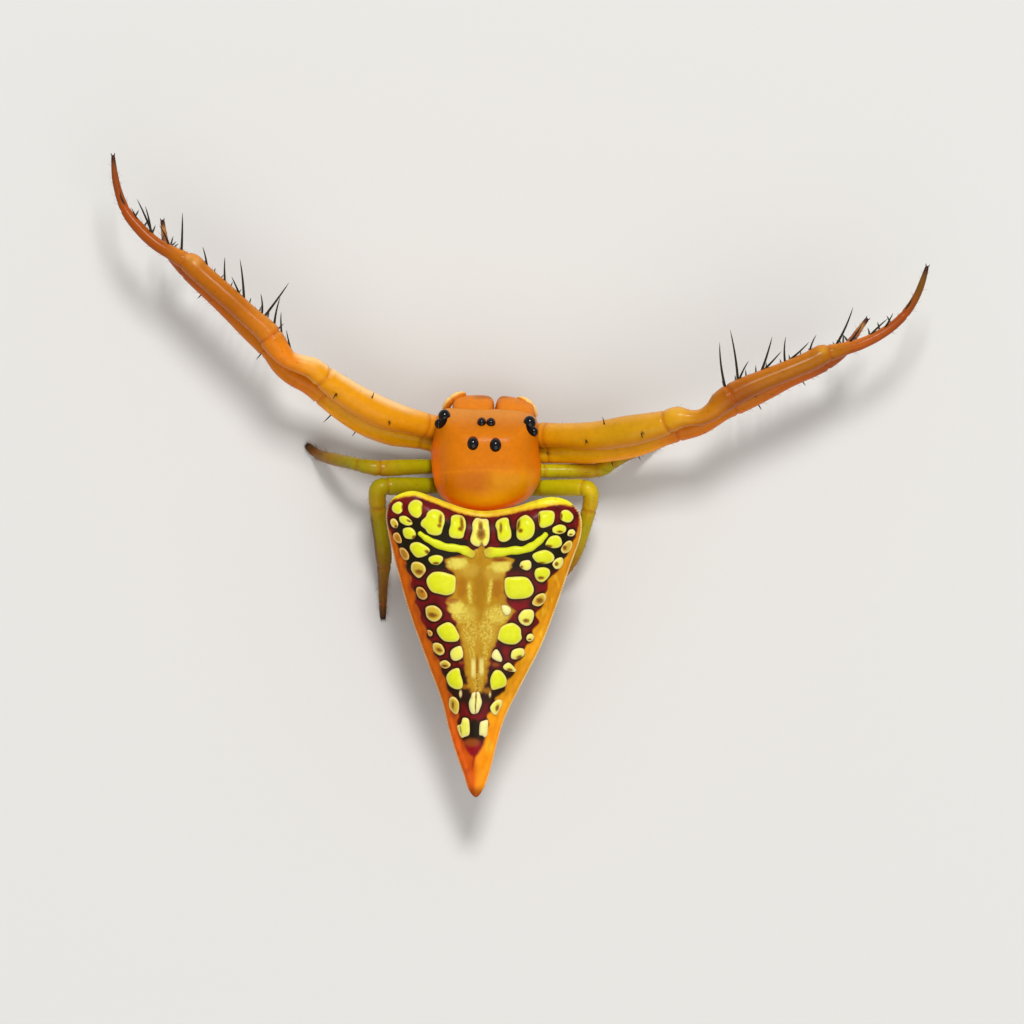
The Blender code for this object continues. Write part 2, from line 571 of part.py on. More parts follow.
class Path:
    # A smooth way through points of pixel x, pixel y, height and width
    def __init__(self, points, depth=LEG_DEPTH, per_span=14):
        self.samples = []
        self.depth = depth
        self.per_span = per_span
        for px, py, z, width in catmull(points, False, per_span):
            self.samples.append((place(px, py, z), 0.5 * width * MM_PER_PX))
        self.lengths = [0.0]
        for a, b in zip(self.samples[:-1], self.samples[1:]):
            self.lengths.append(self.lengths[-1] + (b[0] - a[0]).length)
        self.frames = []
        tangent = (self.samples[1][0] - self.samples[0][0]).normalized()
        side = tangent.cross(Vector((0, 0, 1))).normalized()
        for i in range(len(self.samples)):
            j = min(len(self.samples) - 2, max(1, i))
            new = (self.samples[j + 1][0] - self.samples[j - 1][0]).normalized()
            side = tangent.rotation_difference(new) @ side
            side = (side - new * side.dot(new)).normalized()
            tangent = new
            self.frames.append((tangent.copy(), side.copy(), side.cross(tangent).normalized()))

    def length_at(self, index):
        return self.lengths[index * self.per_span]

    def end(self):
        return self.lengths[-1]

    def at(self, length):
        length = min(self.lengths[-1], max(0.0, length))
        k = 0
        while k < len(self.lengths) - 2 and self.lengths[k + 1] < length:
            k += 1
        t = (length - self.lengths[k]) / (self.lengths[k + 1] - self.lengths[k])
        a = self.samples[k]
        b = self.samples[k + 1]
        frame = self.frames[k] if t < 0.5 else self.frames[k + 1]
        return a[0].lerp(b[0], t), lerp(a[1], b[1], t), frame

    def nearest(self, px, py):
        goal = place(px, py, 0.0)
        best = min(
            range(len(self.samples)),
            key=lambda i: (self.samples[i][0].xy - goal.xy).length,
        )
        return self.lengths[best]


def tube(path, start, stop, rings, sides, round_start=False, round_stop=False, square=2.0):
    # A closed tube over part of a path; a rounded end shrinks over its last rings,
    # and a square value above 2 fills out the corners of the upper half
    bm = bmesh.new()
    made = []
    shift = 0.0 if sides % 4 == 2 else 0.5
    stations = [lerp(start, stop, k / (rings - 1)) for k in range(rings)]
    shrink = [1.0] * rings
    middle = path.at(0.5 * (start + stop))[1]
    if round_start:
        stations = [start, start + 0.25 * middle] + [s for s in stations if s > start + 0.6 * middle]
        shrink = [0.45, 0.82] + [1.0] * (len(stations) - 2)
    if round_stop:
        last = path.at(stop)[1]
        kept = [s for s in stations if s < stop - 0.9 * last]
        shrink = shrink[:len(kept)] + [0.86, 0.45]
        stations = kept + [stop - 0.35 * last, stop]
    for length, scale in zip(stations, shrink):
        centre, half, (tangent, side, up) = path.at(length)
        ring = []
        for k in range(sides):
            a = 2.0 * math.pi * (k + shift) / sides
            reach = half * scale
            if math.sin(a) > 0.0:
                reach *= (abs(math.cos(a)) ** square + math.sin(a) ** square) ** (-1.0 / square)
            v = centre + side * (math.cos(a) * reach)
            v = v + up * (math.sin(a) * reach * path.depth)
            v.z = max(0.0, v.z)
            ring.append(bm.verts.new(v))
        made.append(ring)
    skin_rings(bm, made)
    bm.faces.new(made[0][::-1])
    bm.faces.new(made[-1])
    return bm


def spine(root, tip, thick=SPINE_ROOT):
    # A four-sided spine that tapers to a point
    bm = bmesh.new()
    along = (tip - root).normalized()
    side = along.cross(Vector((0, 0, 1)))
    side = side.normalized() if side.length > 1e-3 else Vector((1, 0, 0))
    up = side.cross(along)
    rings = []
    for share, scale in ((0.0, 1.0), (SPINE_MIDDLE, 0.62)):
        ring = []
        for k in range(4):
            a = math.pi * (0.5 * k + 0.25)
            ring.append(bm.verts.new(
                root.lerp(tip, share) + (side * math.cos(a) + up * math.sin(a)) * thick * scale
            ))
        rings.append(ring)
    skin_rings(bm, rings)
    bm.faces.new(rings[0][::-1])
    point = bm.verts.new(tip)
    for k in range(4):
        bm.faces.new((rings[1][k], rings[1][(k + 1) % 4], point))
    return bm


def leg_spines(leg, way, cuts):
    # Every spine of one leg, sorted by the segment it grows from
    out = {segment: [] for segment in SEGMENTS}

    def segment_at(length):
        k = sum(1 for cut in cuts[1:4] if length > cut)
        return SEGMENTS[k]

    def add(length, root, tip, thick):
        for cut in cuts[1:4]:
            if abs(length - cut) < 1.6 * thick + JOINT_GAP:
                return
        out[segment_at(length)].append(spine(root, tip, thick))

    for base, tip, rise in LONG_SPINES.get(leg, []):
        length = way.nearest(*base)
        centre, half, frame = way.at(length)
        base_point = place(base[0], base[1], centre.z + 0.15 * rise)
        tip_point = place(tip[0], tip[1], centre.z + rise)
        away = (tip_point - base_point).normalized()
        thick = min(SPINE_ROOT, 0.38 * half)
        add(length, base_point - away * (0.75 * half), tip_point, thick)
    for base, tall in FEMUR_SPINES.get(leg, []):
        length = way.nearest(*base)
        centre, half, frame = way.at(length)
        offset = place(base[0], base[1], centre.z) - centre
        tilt = (offset + Vector((0, 0, 1)) * half * LEG_DEPTH).normalized()
        add(length, centre + tilt * 0.4 * half, centre + tilt * (half * LEG_DEPTH + tall), 0.8 * SPINE_ROOT)
    for base, tip in REAR_SPINES.get(leg, []):
        length = way.nearest(*base)
        centre, half, frame = way.at(length)
        tip_point = place(tip[0], tip[1], centre.z - 0.05)
        away = (tip_point - centre).normalized()
        add(length, centre + away * 0.35 * half, tip_point, 0.75 * SPINE_ROOT)
    if leg[:5] in ("leg_1", "leg_2"):
        for k, segment in ((2, "tibia"), (3, "foot")):
            count = LOWER_ROW[segment]
            for i in range(count):
                first, last = (0.36, 0.94) if segment == "tibia" else (0.12, 0.52)
                length = lerp(cuts[k], cuts[k + 1], lerp(first, last, (i + 0.3 * rng.random()) / count))
                centre, half, (tangent, side, up) = way.at(length)
                ahead = Vector((tangent.y, -tangent.x, 0.0)).normalized()
                if ahead.y > 0.0:
                    ahead = -ahead
                away = (ahead + Vector((0, 0, -LOWER_SPINE_SLOPE)) + tangent * 0.35).normalized()
                reach = LOWER_SPINE_LENGTH * (1.0 - 0.35 * i / count) * (0.9 + 0.2 * rng.random())
                thick = min(SPINE_ROOT, 0.38 * half)
                add(length, centre + away * 0.35 * half, centre + away * (half + reach), thick)
    return out


def ball(centre, radius, around, rows):
    bm = bmesh.new()
    rings = []
    for i in range(1, rows):
        a = math.pi * i / rows
        ring = []
        for k in range(around):
            b = 2.0 * math.pi * k / around
            ring.append(bm.verts.new(centre + Vector((
                radius * math.sin(a) * math.cos(b),
                radius * math.sin(a) * math.sin(b),
                radius * math.cos(a),
            ))))
        rings.append(ring)
    skin_rings(bm, rings)
    for ring, z in ((rings[0], radius), (rings[-1], -radius)):
        pole = bm.verts.new(centre + Vector((0, 0, z)))
        for k in range(around):
            bm.faces.new((ring[k], ring[(k + 1) % around], pole))
    return bm


def pad(centre, half, low, high, count):
    # A small rounded block with an oval plan
    cx, cy = centre
    outline = []
    for k in range(16):
        a = 2.0 * math.pi * k / 16
        outline.append((cx + half[0] * math.cos(a), cy + half[1] * math.sin(a)))
    middle = 0.5 * (low + high)
    rise = 0.5 * (high - low)
    return shield(
        outline, centre, (0.85, 0.5), (0.85, 0.5),
        lambda px, py, share: middle + rise * (1.0 - share ** 3) ** 0.5,
        lambda px, py, share: middle - rise * (1.0 - share ** 3) ** 0.5,
        count,
    )


# Prosoma

carapace = finish("carapace", shield(
    CARAPACE_OUTLINE, CARAPACE_CENTRE,
    (0.985, 0.94, 0.88, 0.79, 0.67, 0.52, 0.34, 0.16), (0.93,),
    carapace_top, carapace_under, 48,
), CUTICLE)
sockets = []
eye_centres = {}
for name, (px, py), radius, sunk, drop in EYES:
    centre = place(px, py, carapace_height(px, py) - radius * sunk - drop)
    eye_centres[name] = (centre, radius)
    sockets.append(ball(centre, radius + SOCKET_GAP, 10, 6))
combine(carapace, sockets, "DIFFERENCE")
for name, (centre, radius) in eye_centres.items():
    finish(name, ball(centre, radius, 10, 7), BLACK, 0.05)

finish("sternum", shield(
    STERNUM_OUTLINE, STERNUM_CENTRE, (0.96, 0.6), (0.94, 0.8, 0.5),
    lambda px, py, share: lerp(STERNUM_TOP, STERNUM_TOP - 0.08, share ** 8),
    lambda px, py, share: STERNUM_TOP - 0.08 - (STERNUM_DEPTH - 0.08) * (1.0 - share ** 3) ** 0.5,
    24,
), CUTICLE)
finish("labium", pad(LABIUM_CENTRE, LABIUM_HALF, 0.86, 1.24, 12), CUTICLE)
finish("maxilla_left", pad(MAXILLA_LEFT_CENTRE, MAXILLA_HALF, 0.80, 1.26, 12), CUTICLE)
finish("maxilla_right", pad(MAXILLA_RIGHT_CENTRE, MAXILLA_HALF, 0.80, 1.26, 12), CUTICLE)

CHELICERA_LEFT = [
    (474, 427, 1.14, 24), (473.6, 418, 1.14, 33.5), (473.6, 413.4, 1.02, 36),
    (474.4, 412.2, 0.80, 34), (477, 412.4, 0.56, 27), (479.5, 412.8, 0.40, 18),
]
CHELICERA_RIGHT = [
    (508, 428, 1.14, 23), (509.6, 419, 1.14, 30.5), (510.2, 414.4, 1.02, 31.5),
    (509.6, 413.4, 0.80, 30), (506, 413.4, 0.56, 25), (502.5, 413.8, 0.40, 18),
]
CHELICERA_SQUARE = 3.4
FANG_LEFT = [
    (481, 413, 0.29, 7), (486.5, 416, 0.21, 6), (488.5, 422.5, 0.19, 4.4),
    (485.5, 429, 0.27, 1.8),
]
FANG_RIGHT = [
    (500.5, 414, 0.29, 7), (496.5, 417.5, 0.21, 6), (496, 424, 0.19, 4.4),
    (499, 430, 0.27, 1.8),
]
PALP_LEFT = [
    (467.5, 431, 0.80, 7.2), (457, 427.3, 0.82, 7.6), (447.5, 419, 0.88, 8),
    (442.5, 409.8, 0.98, 7.5), (445.8, 402, 1.08, 7), (452.3, 396.6, 1.12, 6.6),
    (459.5, 392.9, 1.08, 6), (466.5, 392.7, 0.96, 4.2),
]
PALP_RIGHT = [
    (506.5, 433, 0.80, 7.2), (517.5, 430.8, 0.82, 7.4), (529, 424.6, 0.88, 7.8),
    (534.2, 415.5, 0.98, 8), (533, 408, 1.08, 7.4), (529, 402.2, 1.12, 6.6),
    (523, 398.6, 1.08, 6), (516.5, 397.2, 0.96, 4.2),
]
for side, chelicera, fang, palp in (
    ("left", CHELICERA_LEFT, FANG_LEFT, PALP_LEFT),
    ("right", CHELICERA_RIGHT, FANG_RIGHT, PALP_RIGHT),
):
    way = Path(chelicera, 0.84)
    finish("chelicera_" + side, tube(way, 0.0, way.end(), 9, 12, True, True, CHELICERA_SQUARE), CUTICLE)
    way = Path(fang, 1.0)
    finish("fang_" + side, tube(way, 0.0, way.end(), 7, 8), BLACK, 0.2)
    way = Path(palp, 1.0)
    finish("pedipalp_" + side, tube(way, 0.0, way.end(), 14, 8, False, True), CUTICLE)

# Abdomen

PEDICEL = [
    (485.8, 502.5, 1.26, 12), (485.2, 512, 1.34, 10), (484.6, 522, 1.50, 11), (484.4, 528, 1.62, 13),
]
way = Path(PEDICEL, 0.9)
finish("pedicel", tube(way, 0.0, way.end(), 6, 10), CUTICLE)

abdomen = finish("abdomen", shield(
    ABDOMEN_OUTLINE, ABDOMEN_CENTRE,
    (0.97, 0.92, 0.84, 0.74, 0.60, 0.42, 0.20),
    (0.985, 0.93, 0.82, 0.64, 0.36),
    abdomen_top, abdomen_under, 60,
), DORSUM)

combine(abdomen, [stud(*row) for row in STUDS] + [band(row) for row in BANDS])

SPINNERET_MOUND = (478.0, 672.0)
SPINNERET_REACH = 0.34
mound_outline = [
    (SPINNERET_MOUND[0] + 12.5 * math.cos(k * math.pi / 8), SPINNERET_MOUND[1] + 12.5 * math.sin(k * math.pi / 8))
    for k in range(16)
]
finish("spinnerets", shield(
    mound_outline, SPINNERET_MOUND, (0.66, 0.33), (0.85, 0.45),
    lambda px, py, share: belly_height(px, py) - JOINT_GAP,
    lambda px, py, share: belly_height(px, py) - JOINT_GAP - SPINNERET_REACH * (1.0 - share ** 3) ** 0.5,
    16,
), CUTICLE)

# Legs

LEGS = [
    ("leg_1_left", LEG_1_LEFT, LEG_1_LEFT_JOINTS, FRONT_LEG_SIDES, (4, 7, 13, 10), CUTICLE),
    ("leg_1_right", LEG_1_RIGHT, LEG_1_RIGHT_JOINTS, FRONT_LEG_SIDES, (4, 7, 13, 10), CUTICLE),
    ("leg_2_left", LEG_2_LEFT, LEG_2_LEFT_JOINTS, FRONT_LEG_SIDES, (4, 7, 11, 8), CUTICLE),
    ("leg_2_right", LEG_2_RIGHT, LEG_2_RIGHT_JOINTS, FRONT_LEG_SIDES, (4, 7, 11, 8), CUTICLE),
    ("leg_3_left", LEG_3_LEFT, LEG_3_LEFT_JOINTS, HIND_LEG_SIDES, (4, 6, 9, 11), HIND_CUTICLE),
    ("leg_3_right", LEG_3_RIGHT, LEG_3_RIGHT_JOINTS, HIND_LEG_SIDES, (4, 6, 9, 11), HIND_CUTICLE),
    ("leg_4_left", LEG_4_LEFT, LEG_4_LEFT_JOINTS, HIND_LEG_SIDES, (4, 6, 13, 10), HIND_CUTICLE),
    ("leg_4_right", LEG_4_RIGHT, LEG_4_RIGHT_JOINTS, HIND_LEG_SIDES, (4, 6, 13, 10), HIND_CUTICLE),
]
for leg, points, joints, sides, rings, colour in LEGS:
    way = Path(points)
    cuts = [0.0] + [way.length_at(j) for j in joints] + [way.end()]
    grown = leg_spines(leg, way, cuts)
    for k, segment in enumerate(SEGMENTS):
        start = cuts[k] + (0.5 * JOINT_GAP if k else 0.0)
        stop = cuts[k + 1] - (0.5 * JOINT_GAP if k < 3 else 0.0)
        body = finish(leg + "_" + segment, tube(way, start, stop, rings[k], sides), colour)
        combine(body, grown[segment])

for obj in bpy.data.objects:
    obj.data.transform(Matrix.Scale(METRES_PER_MM, 4))
    obj.data.update()
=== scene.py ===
import math
import random

import bmesh
import bpy
import numpy as np
from mathutils import Matrix, Vector, noise


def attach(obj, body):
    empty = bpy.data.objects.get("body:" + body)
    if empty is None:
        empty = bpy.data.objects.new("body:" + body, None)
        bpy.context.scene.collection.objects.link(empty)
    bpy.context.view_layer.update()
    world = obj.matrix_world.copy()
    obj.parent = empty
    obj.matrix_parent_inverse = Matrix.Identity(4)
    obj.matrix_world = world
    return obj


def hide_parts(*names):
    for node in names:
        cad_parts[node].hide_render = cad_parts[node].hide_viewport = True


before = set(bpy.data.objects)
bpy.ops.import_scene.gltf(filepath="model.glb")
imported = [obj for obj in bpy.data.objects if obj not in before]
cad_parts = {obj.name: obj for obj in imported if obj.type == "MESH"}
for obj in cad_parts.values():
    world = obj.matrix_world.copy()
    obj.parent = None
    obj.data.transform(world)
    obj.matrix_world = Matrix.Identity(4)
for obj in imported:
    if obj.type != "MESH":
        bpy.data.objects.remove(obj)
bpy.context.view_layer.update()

# Places are given as pixel x, pixel y of the photograph and a height in millimetres
plan = {
    "mmPerPixel": 9.0 / 402.0,
    "middleX": 519.76,
    "middleY": 476.62,
    "metres": 0.001,
}
step = plan["mmPerPixel"] * plan["metres"]  # one pixel in metres


def at(px, py, mm=0.0):
    return Vector((-(px - plan["middleX"]) * step, (py - plan["middleY"]) * step, mm * plan["metres"]))


def pixelOf(place):
    return plan["middleX"] - place[0] / step, plan["middleY"] + place[1] / step


def millimetres(length):
    return length / plan["metres"]


def ramp(low, high, value):  # 0 below low, 1 above high, smooth between
    t = min(1.0, max(0.0, (value - low) / (high - low)))
    return t * t * (3.0 - 2.0 * t)


def between(a, b, t):
    return a + (b - a) * t


def rgb(r, g, b):  # screen colour to linear
    return np.array([
        v / 255.0 / 12.92 if v <= 10 else ((v / 255.0 + 0.055) / 1.055) ** 2.4 for v in (r, g, b)
    ])


def readRows(rows, key):  # value at key in rows of (key, value, value...)
    if key <= rows[0][0]:
        return rows[0][1:]
    for a, b in zip(rows[:-1], rows[1:]):
        if key <= b[0]:
            t = (key - a[0]) / (b[0] - a[0])
            return tuple(between(p, q, t) for p, q in zip(a[1:], b[1:]))
    return rows[-1][1:]


def grain(px, py, size, seed=0.0):  # soft noise about 0, in a range near -1 to 1
    return noise.noise(Vector((px / size, py / size, seed)))


def bell(d):  # 1 at 0, falling away smoothly on both sides
    return math.exp(-d * d)


def dome(share, power=3.0, roundness=0.5):  # 1 in the middle, 0 at the rim
    return (1.0 - min(1.0, share) ** power) ** roundness


def turnBy(dx, dy, degrees):  # dx, dy seen from axes that are turned so many degrees
    c = math.cos(math.radians(degrees))
    s = math.sin(math.radians(degrees))
    return dx * c + dy * s, dy * c - dx * s


def oval(px, py, place, half):  # 0 in the middle of an oval, 1 on its edge
    return math.hypot((px - place[0]) / half[0], (py - place[1]) / half[1])


def ovalRing(place, half, count):
    turns = [2.0 * math.pi * k / count for k in range(count)]
    return [(place[0] + half[0] * math.cos(a), place[1] + half[1] * math.sin(a)) for a in turns]


# Curves


def smoothLine(points, perSpan, closed=False):  # a curve through all the points
    n = len(points)
    out = []
    for i in range(n if closed else n - 1):
        if closed:
            p = [points[(i + k) % n] for k in (-1, 0, 1, 2)]
        else:
            p = [points[min(n - 1, max(0, i + k))] for k in (-1, 0, 1, 2)]
        for s in range(perSpan):
            t = s / perSpan
            pulls = (
                -0.5 * t + t * t - 0.5 * t ** 3,
                1.0 - 2.5 * t * t + 1.5 * t ** 3,
                0.5 * t + 2.0 * t * t - 1.5 * t ** 3,
                -0.5 * t * t + 0.5 * t ** 3,
            )
            out.append(tuple(sum(pull * q[k] for pull, q in zip(pulls, p)) for k in range(len(p[0]))))
    if not closed:
        out.append(tuple(float(v) for v in points[-1]))
    return out


def evenOutline(points, count):  # so many places, evenly spaced round a closed curve
    dense = np.array(smoothLine(points, 14, True) + [points[0]], float)
    run = np.concatenate([[0.0], np.cumsum(np.hypot(*np.diff(dense, axis=0).T))])
    goal = np.linspace(0.0, run[-1], count, endpoint=False)
    return list(zip(np.interp(goal, run, dense[:, 0]), np.interp(goal, run, dense[:, 1])))


class Way:
    # Follows points of pixel x, pixel y, height in mm and width in pixels
    def __init__(self, points, perSpan=12):
        self.perSpan = perSpan
        rows = smoothLine(points, perSpan)
        self.centres = [at(r[0], r[1], r[2]) for r in rows]
        self.halves = [0.5 * r[3] * step for r in rows]
        self.run = [0.0]
        for a, b in zip(self.centres[:-1], self.centres[1:]):
            self.run.append(self.run[-1] + (b - a).length)
        self.frames = []
        along = (self.centres[1] - self.centres[0]).normalized()
        side = along.cross(Vector((0, 0, 1))).normalized()
        for i in range(len(self.centres)):
            j = min(len(self.centres) - 2, max(1, i))
            new = (self.centres[j + 1] - self.centres[j - 1]).normalized()
            side = along.rotation_difference(new) @ side
            side = (side - new * side.dot(new)).normalized()
            along = new
            self.frames.append((along.copy(), side.copy(), side.cross(along).normalized()))
        self.table = np.array([c[:] for c in self.centres])

    def lengthAt(self, index):
        whole = int(index)
        a = self.run[whole * self.perSpan]
        if index == whole:
            return a
        return between(a, self.run[(whole + 1) * self.perSpan], index - whole)

    def look(self, length):  # centre, half width, (along, side, up)
        length = min(self.run[-1], max(0.0, length))
        k = min(len(self.run) - 2, max(0, int(np.searchsorted(self.run, length, side="right")) - 1))
        t = (length - self.run[k]) / (self.run[k + 1] - self.run[k])
        return (
            self.centres[k].lerp(self.centres[k + 1], t),
            between(self.halves[k], self.halves[k + 1], t),
            self.frames[k] if t < 0.5 else self.frames[k + 1],
        )

    def nearest(self, px, py):
        goal = at(px, py)
        return self.run[int(np.argmin(((self.table[:, :2] - goal[:2]) ** 2).sum(1)))]

    def nearestTo(self, place):
        d = ((self.table - place[:]) ** 2).sum(1)
        k = int(np.argmin(d))
        along = self.frames[k][0]
        return min(self.run[-1], max(0.0, self.run[k] + (place - self.centres[k]).dot(along)))


# Modelling


def loft(rings, closeStart=True, closeEnd=True):
    # A circle drawn out from ring to ring; each ring is a list of places
    bm = bmesh.new()
    slot = bm.verts.layers.int.new("slot")
    first = bmesh.ops.create_circle(bm, cap_ends=False, segments=len(rings[0]), radius=step)["verts"]
    for k, v in enumerate(first):
        v[slot] = k
        v.co = rings[0][k]
    edges = bm.edges[:]
    if closeStart:
        bmesh.ops.contextual_create(bm, geom=edges)
    for ring in rings[1:]:
        made = bmesh.ops.extrude_edge_only(bm, edges=edges)["geom"]
        new = {v for v in made if isinstance(v, bmesh.types.BMVert)}
        for v in new:
            v.co = ring[v[slot]]
        drawn = [e for e in made if isinstance(e, bmesh.types.BMEdge)]
        edges = [e for e in drawn if e.verts[0] in new and e.verts[1] in new]
    if closeEnd:
        bmesh.ops.contextual_create(bm, geom=edges)
    caps = [f for f in bm.faces if len(f.verts) > 4]
    if caps:
        bmesh.ops.poke(bm, faces=caps)
    bmesh.ops.recalc_face_normals(bm, faces=bm.faces[:])
    return bm


def shell(outline, centre, sharesTop, sharesUnder, top, under):
    # Rings over an outline: from the middle of the under side round the rim to the middle of the top
    def ring(share, height):
        out = []
        for px, py in outline:
            x = between(centre[0], px, share)
            y = between(centre[1], py, share)
            out.append(at(x, y, height(x, y, share)))
        return out
    rings = [ring(s, under) for s in sorted(sharesUnder)]
    rings += [ring(s, top) for s in sorted(sharesTop, reverse=True)]
    return loft(rings)


def roundedEnd(rest, reach):  # how wide a rounded end is at a length from its tip
    if reach <= 0.0 or rest >= reach:
        return 1.0
    return max(0.12, math.sqrt(max(0.0, 1.0 - (1.0 - rest / reach) ** 2)))


def tube(
    way, count, sides, width=lambda length: 1.0, depth=1.08, roundStart=0.0, roundStop=0.0, square=2.0,
):
    # A limb along a way; square above 2 makes its upper side flatter and squarer
    rings = []
    for i in range(count):
        length = way.run[-1] * i / (count - 1)
        centre, half, (_, side, up) = way.look(length)
        scale = width(length) * roundedEnd(length, roundStart) * roundedEnd(way.run[-1] - length, roundStop)
        ring = []
        for k in range(sides):
            a = 2.0 * math.pi * k / sides
            reach = half * scale
            if math.sin(a) > 0.0:
                reach *= (abs(math.cos(a)) ** square + math.sin(a) ** square) ** (-1.0 / square)
            v = centre + (side * math.cos(a) + up * (math.sin(a) * depth)) * reach
            v.z = max(0.0, v.z)
            ring.append(v)
        rings.append(ring)
    return loft(rings)


def spike(root, tip, radius, bend=0.0, sides=6, rings=6):
    # A thin spine that tapers to a point and bows sideways a little
    along = (tip - root).normalized()
    side = along.cross(Vector((0, 0, 1)))
    side = side.normalized() if side.length > 1e-3 else Vector((1, 0, 0))
    up = side.cross(along)
    out = []
    for i in range(rings):
        t = i / (rings - 1)
        centre = root.lerp(tip, t) + side * (bend * (tip - root).length * 4.0 * t * (1.0 - t))
        r = radius * ((1.0 - t) ** 0.55 + 0.10)
        out.append([centre + side * x + up * y for x, y in ovalRing((0.0, 0.0), (r, r), sides)])
    return loft(out)


def gather(parts):  # several small bmeshes as one
    whole = bmesh.new()
    for bm in parts:
        mesh = bpy.data.meshes.new("part")
        bm.to_mesh(mesh)
        bm.free()
        whole.from_mesh(mesh)
        bpy.data.meshes.remove(mesh)
    return whole


def addPiece(name, bm, material, replaces=(), tint=None, smooth=True):
    # tint is a function of a place that gives the colour there
    bmesh.ops.triangulate(bm, faces=[f for f in bm.faces if len(f.verts) > 4])
    mesh = bpy.data.meshes.new(name)
    bm.to_mesh(mesh)
    bm.free()
    for face in mesh.polygons:
        face.use_smooth = smooth
    obj = bpy.data.objects.new(name, mesh)
    bpy.context.scene.collection.objects.link(obj)
    mesh.materials.append(material)
    if tint is not None:
        values = np.ones((len(mesh.vertices), 4), np.float32)
        for i, v in enumerate(mesh.vertices):
            colour = tint(v)
            values[i, :len(colour)] = colour
        layer = mesh.color_attributes.new(name="tint", type="FLOAT_COLOR", domain="POINT")
        layer.data.foreach_set("color", values.ravel())
    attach(obj, "root")
    if replaces:
        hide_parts(*replaces)
    return obj


# Finishes

def cuticle(name, look):
    # Glossy shell with fine grain over its colour, which is one colour or the piece's tint
    material = bpy.data.materials.new(name)
    material.use_nodes = True
    nodes = material.node_tree.nodes
    links = material.node_tree.links
    shader = nodes["Principled BSDF"]
    shader.inputs["Roughness"].default_value = look["roughness"]
    shader.inputs["Coat Weight"].default_value = look.get("coat", 0.0)
    shader.inputs["Coat Roughness"].default_value = look.get("coatRoughness", 0.08)
    shader.inputs["Specular IOR Level"].default_value = look.get("specular", 0.26)
    place = nodes.new("ShaderNodeTexCoord")

    def grainAt(scale):
        speck = nodes.new("ShaderNodeTexNoise")
        speck.inputs["Scale"].default_value = scale
        speck.inputs["Detail"].default_value = 3.0
        links.new(place.outputs["Object"], speck.inputs["Vector"])
        return speck.outputs["Fac"]

    def mapped(value, fromLow, fromHigh, toLow, toHigh):
        node = nodes.new("ShaderNodeMapRange")
        node.inputs["From Min"].default_value = fromLow
        node.inputs["From Max"].default_value = fromHigh
        node.inputs["To Min"].default_value = toLow
        node.inputs["To Max"].default_value = toHigh
        links.new(value, node.inputs["Value"])
        return node.outputs["Result"]

    if "colour" in look:
        shader.inputs["Base Color"].default_value = (*look["colour"], 1.0)
    else:
        tint = nodes.new("ShaderNodeVertexColor")
        tint.layer_name = "tint"
        colour = tint.outputs["Color"]
        if "flecks" in look:
            spread = nodes.new("ShaderNodeMath")
            spread.operation = "MULTIPLY"
            links.new(mapped(grainAt(look["flecks"]), 0.40, 0.66, 0.0, 0.85), spread.inputs[0])
            links.new(tint.outputs["Alpha"], spread.inputs[1])
            fleck = nodes.new("ShaderNodeMix")
            fleck.data_type = "RGBA"
            links.new(spread.outputs["Value"], fleck.inputs["Factor"])
            links.new(colour, fleck.inputs["A"])
            fleck.inputs["B"].default_value = (*look["fleckColour"], 1.0)
            colour = fleck.outputs["Result"]
        shade = nodes.new("ShaderNodeVectorMath")
        shade.operation = "SCALE"
        links.new(colour, shade.inputs[0])
        mottled = mapped(grainAt(look["grain"]), 0.3, 0.7, 1.0 - look["mottle"], 1.0 + look["mottle"])
        links.new(mottled, shade.inputs["Scale"])
        links.new(shade.outputs["Vector"], shader.inputs["Base Color"])
    if look.get("bump", 0.0) > 0.0:
        bump = nodes.new("ShaderNodeBump")
        bump.inputs["Strength"].default_value = look["bump"]
        bump.inputs["Distance"].default_value = look.get("bumpHeight", 0.000006)
        links.new(grainAt(look["grain"]), bump.inputs["Height"])
        links.new(bump.outputs["Normal"], shader.inputs["Normal"])
    return material


# Carapace

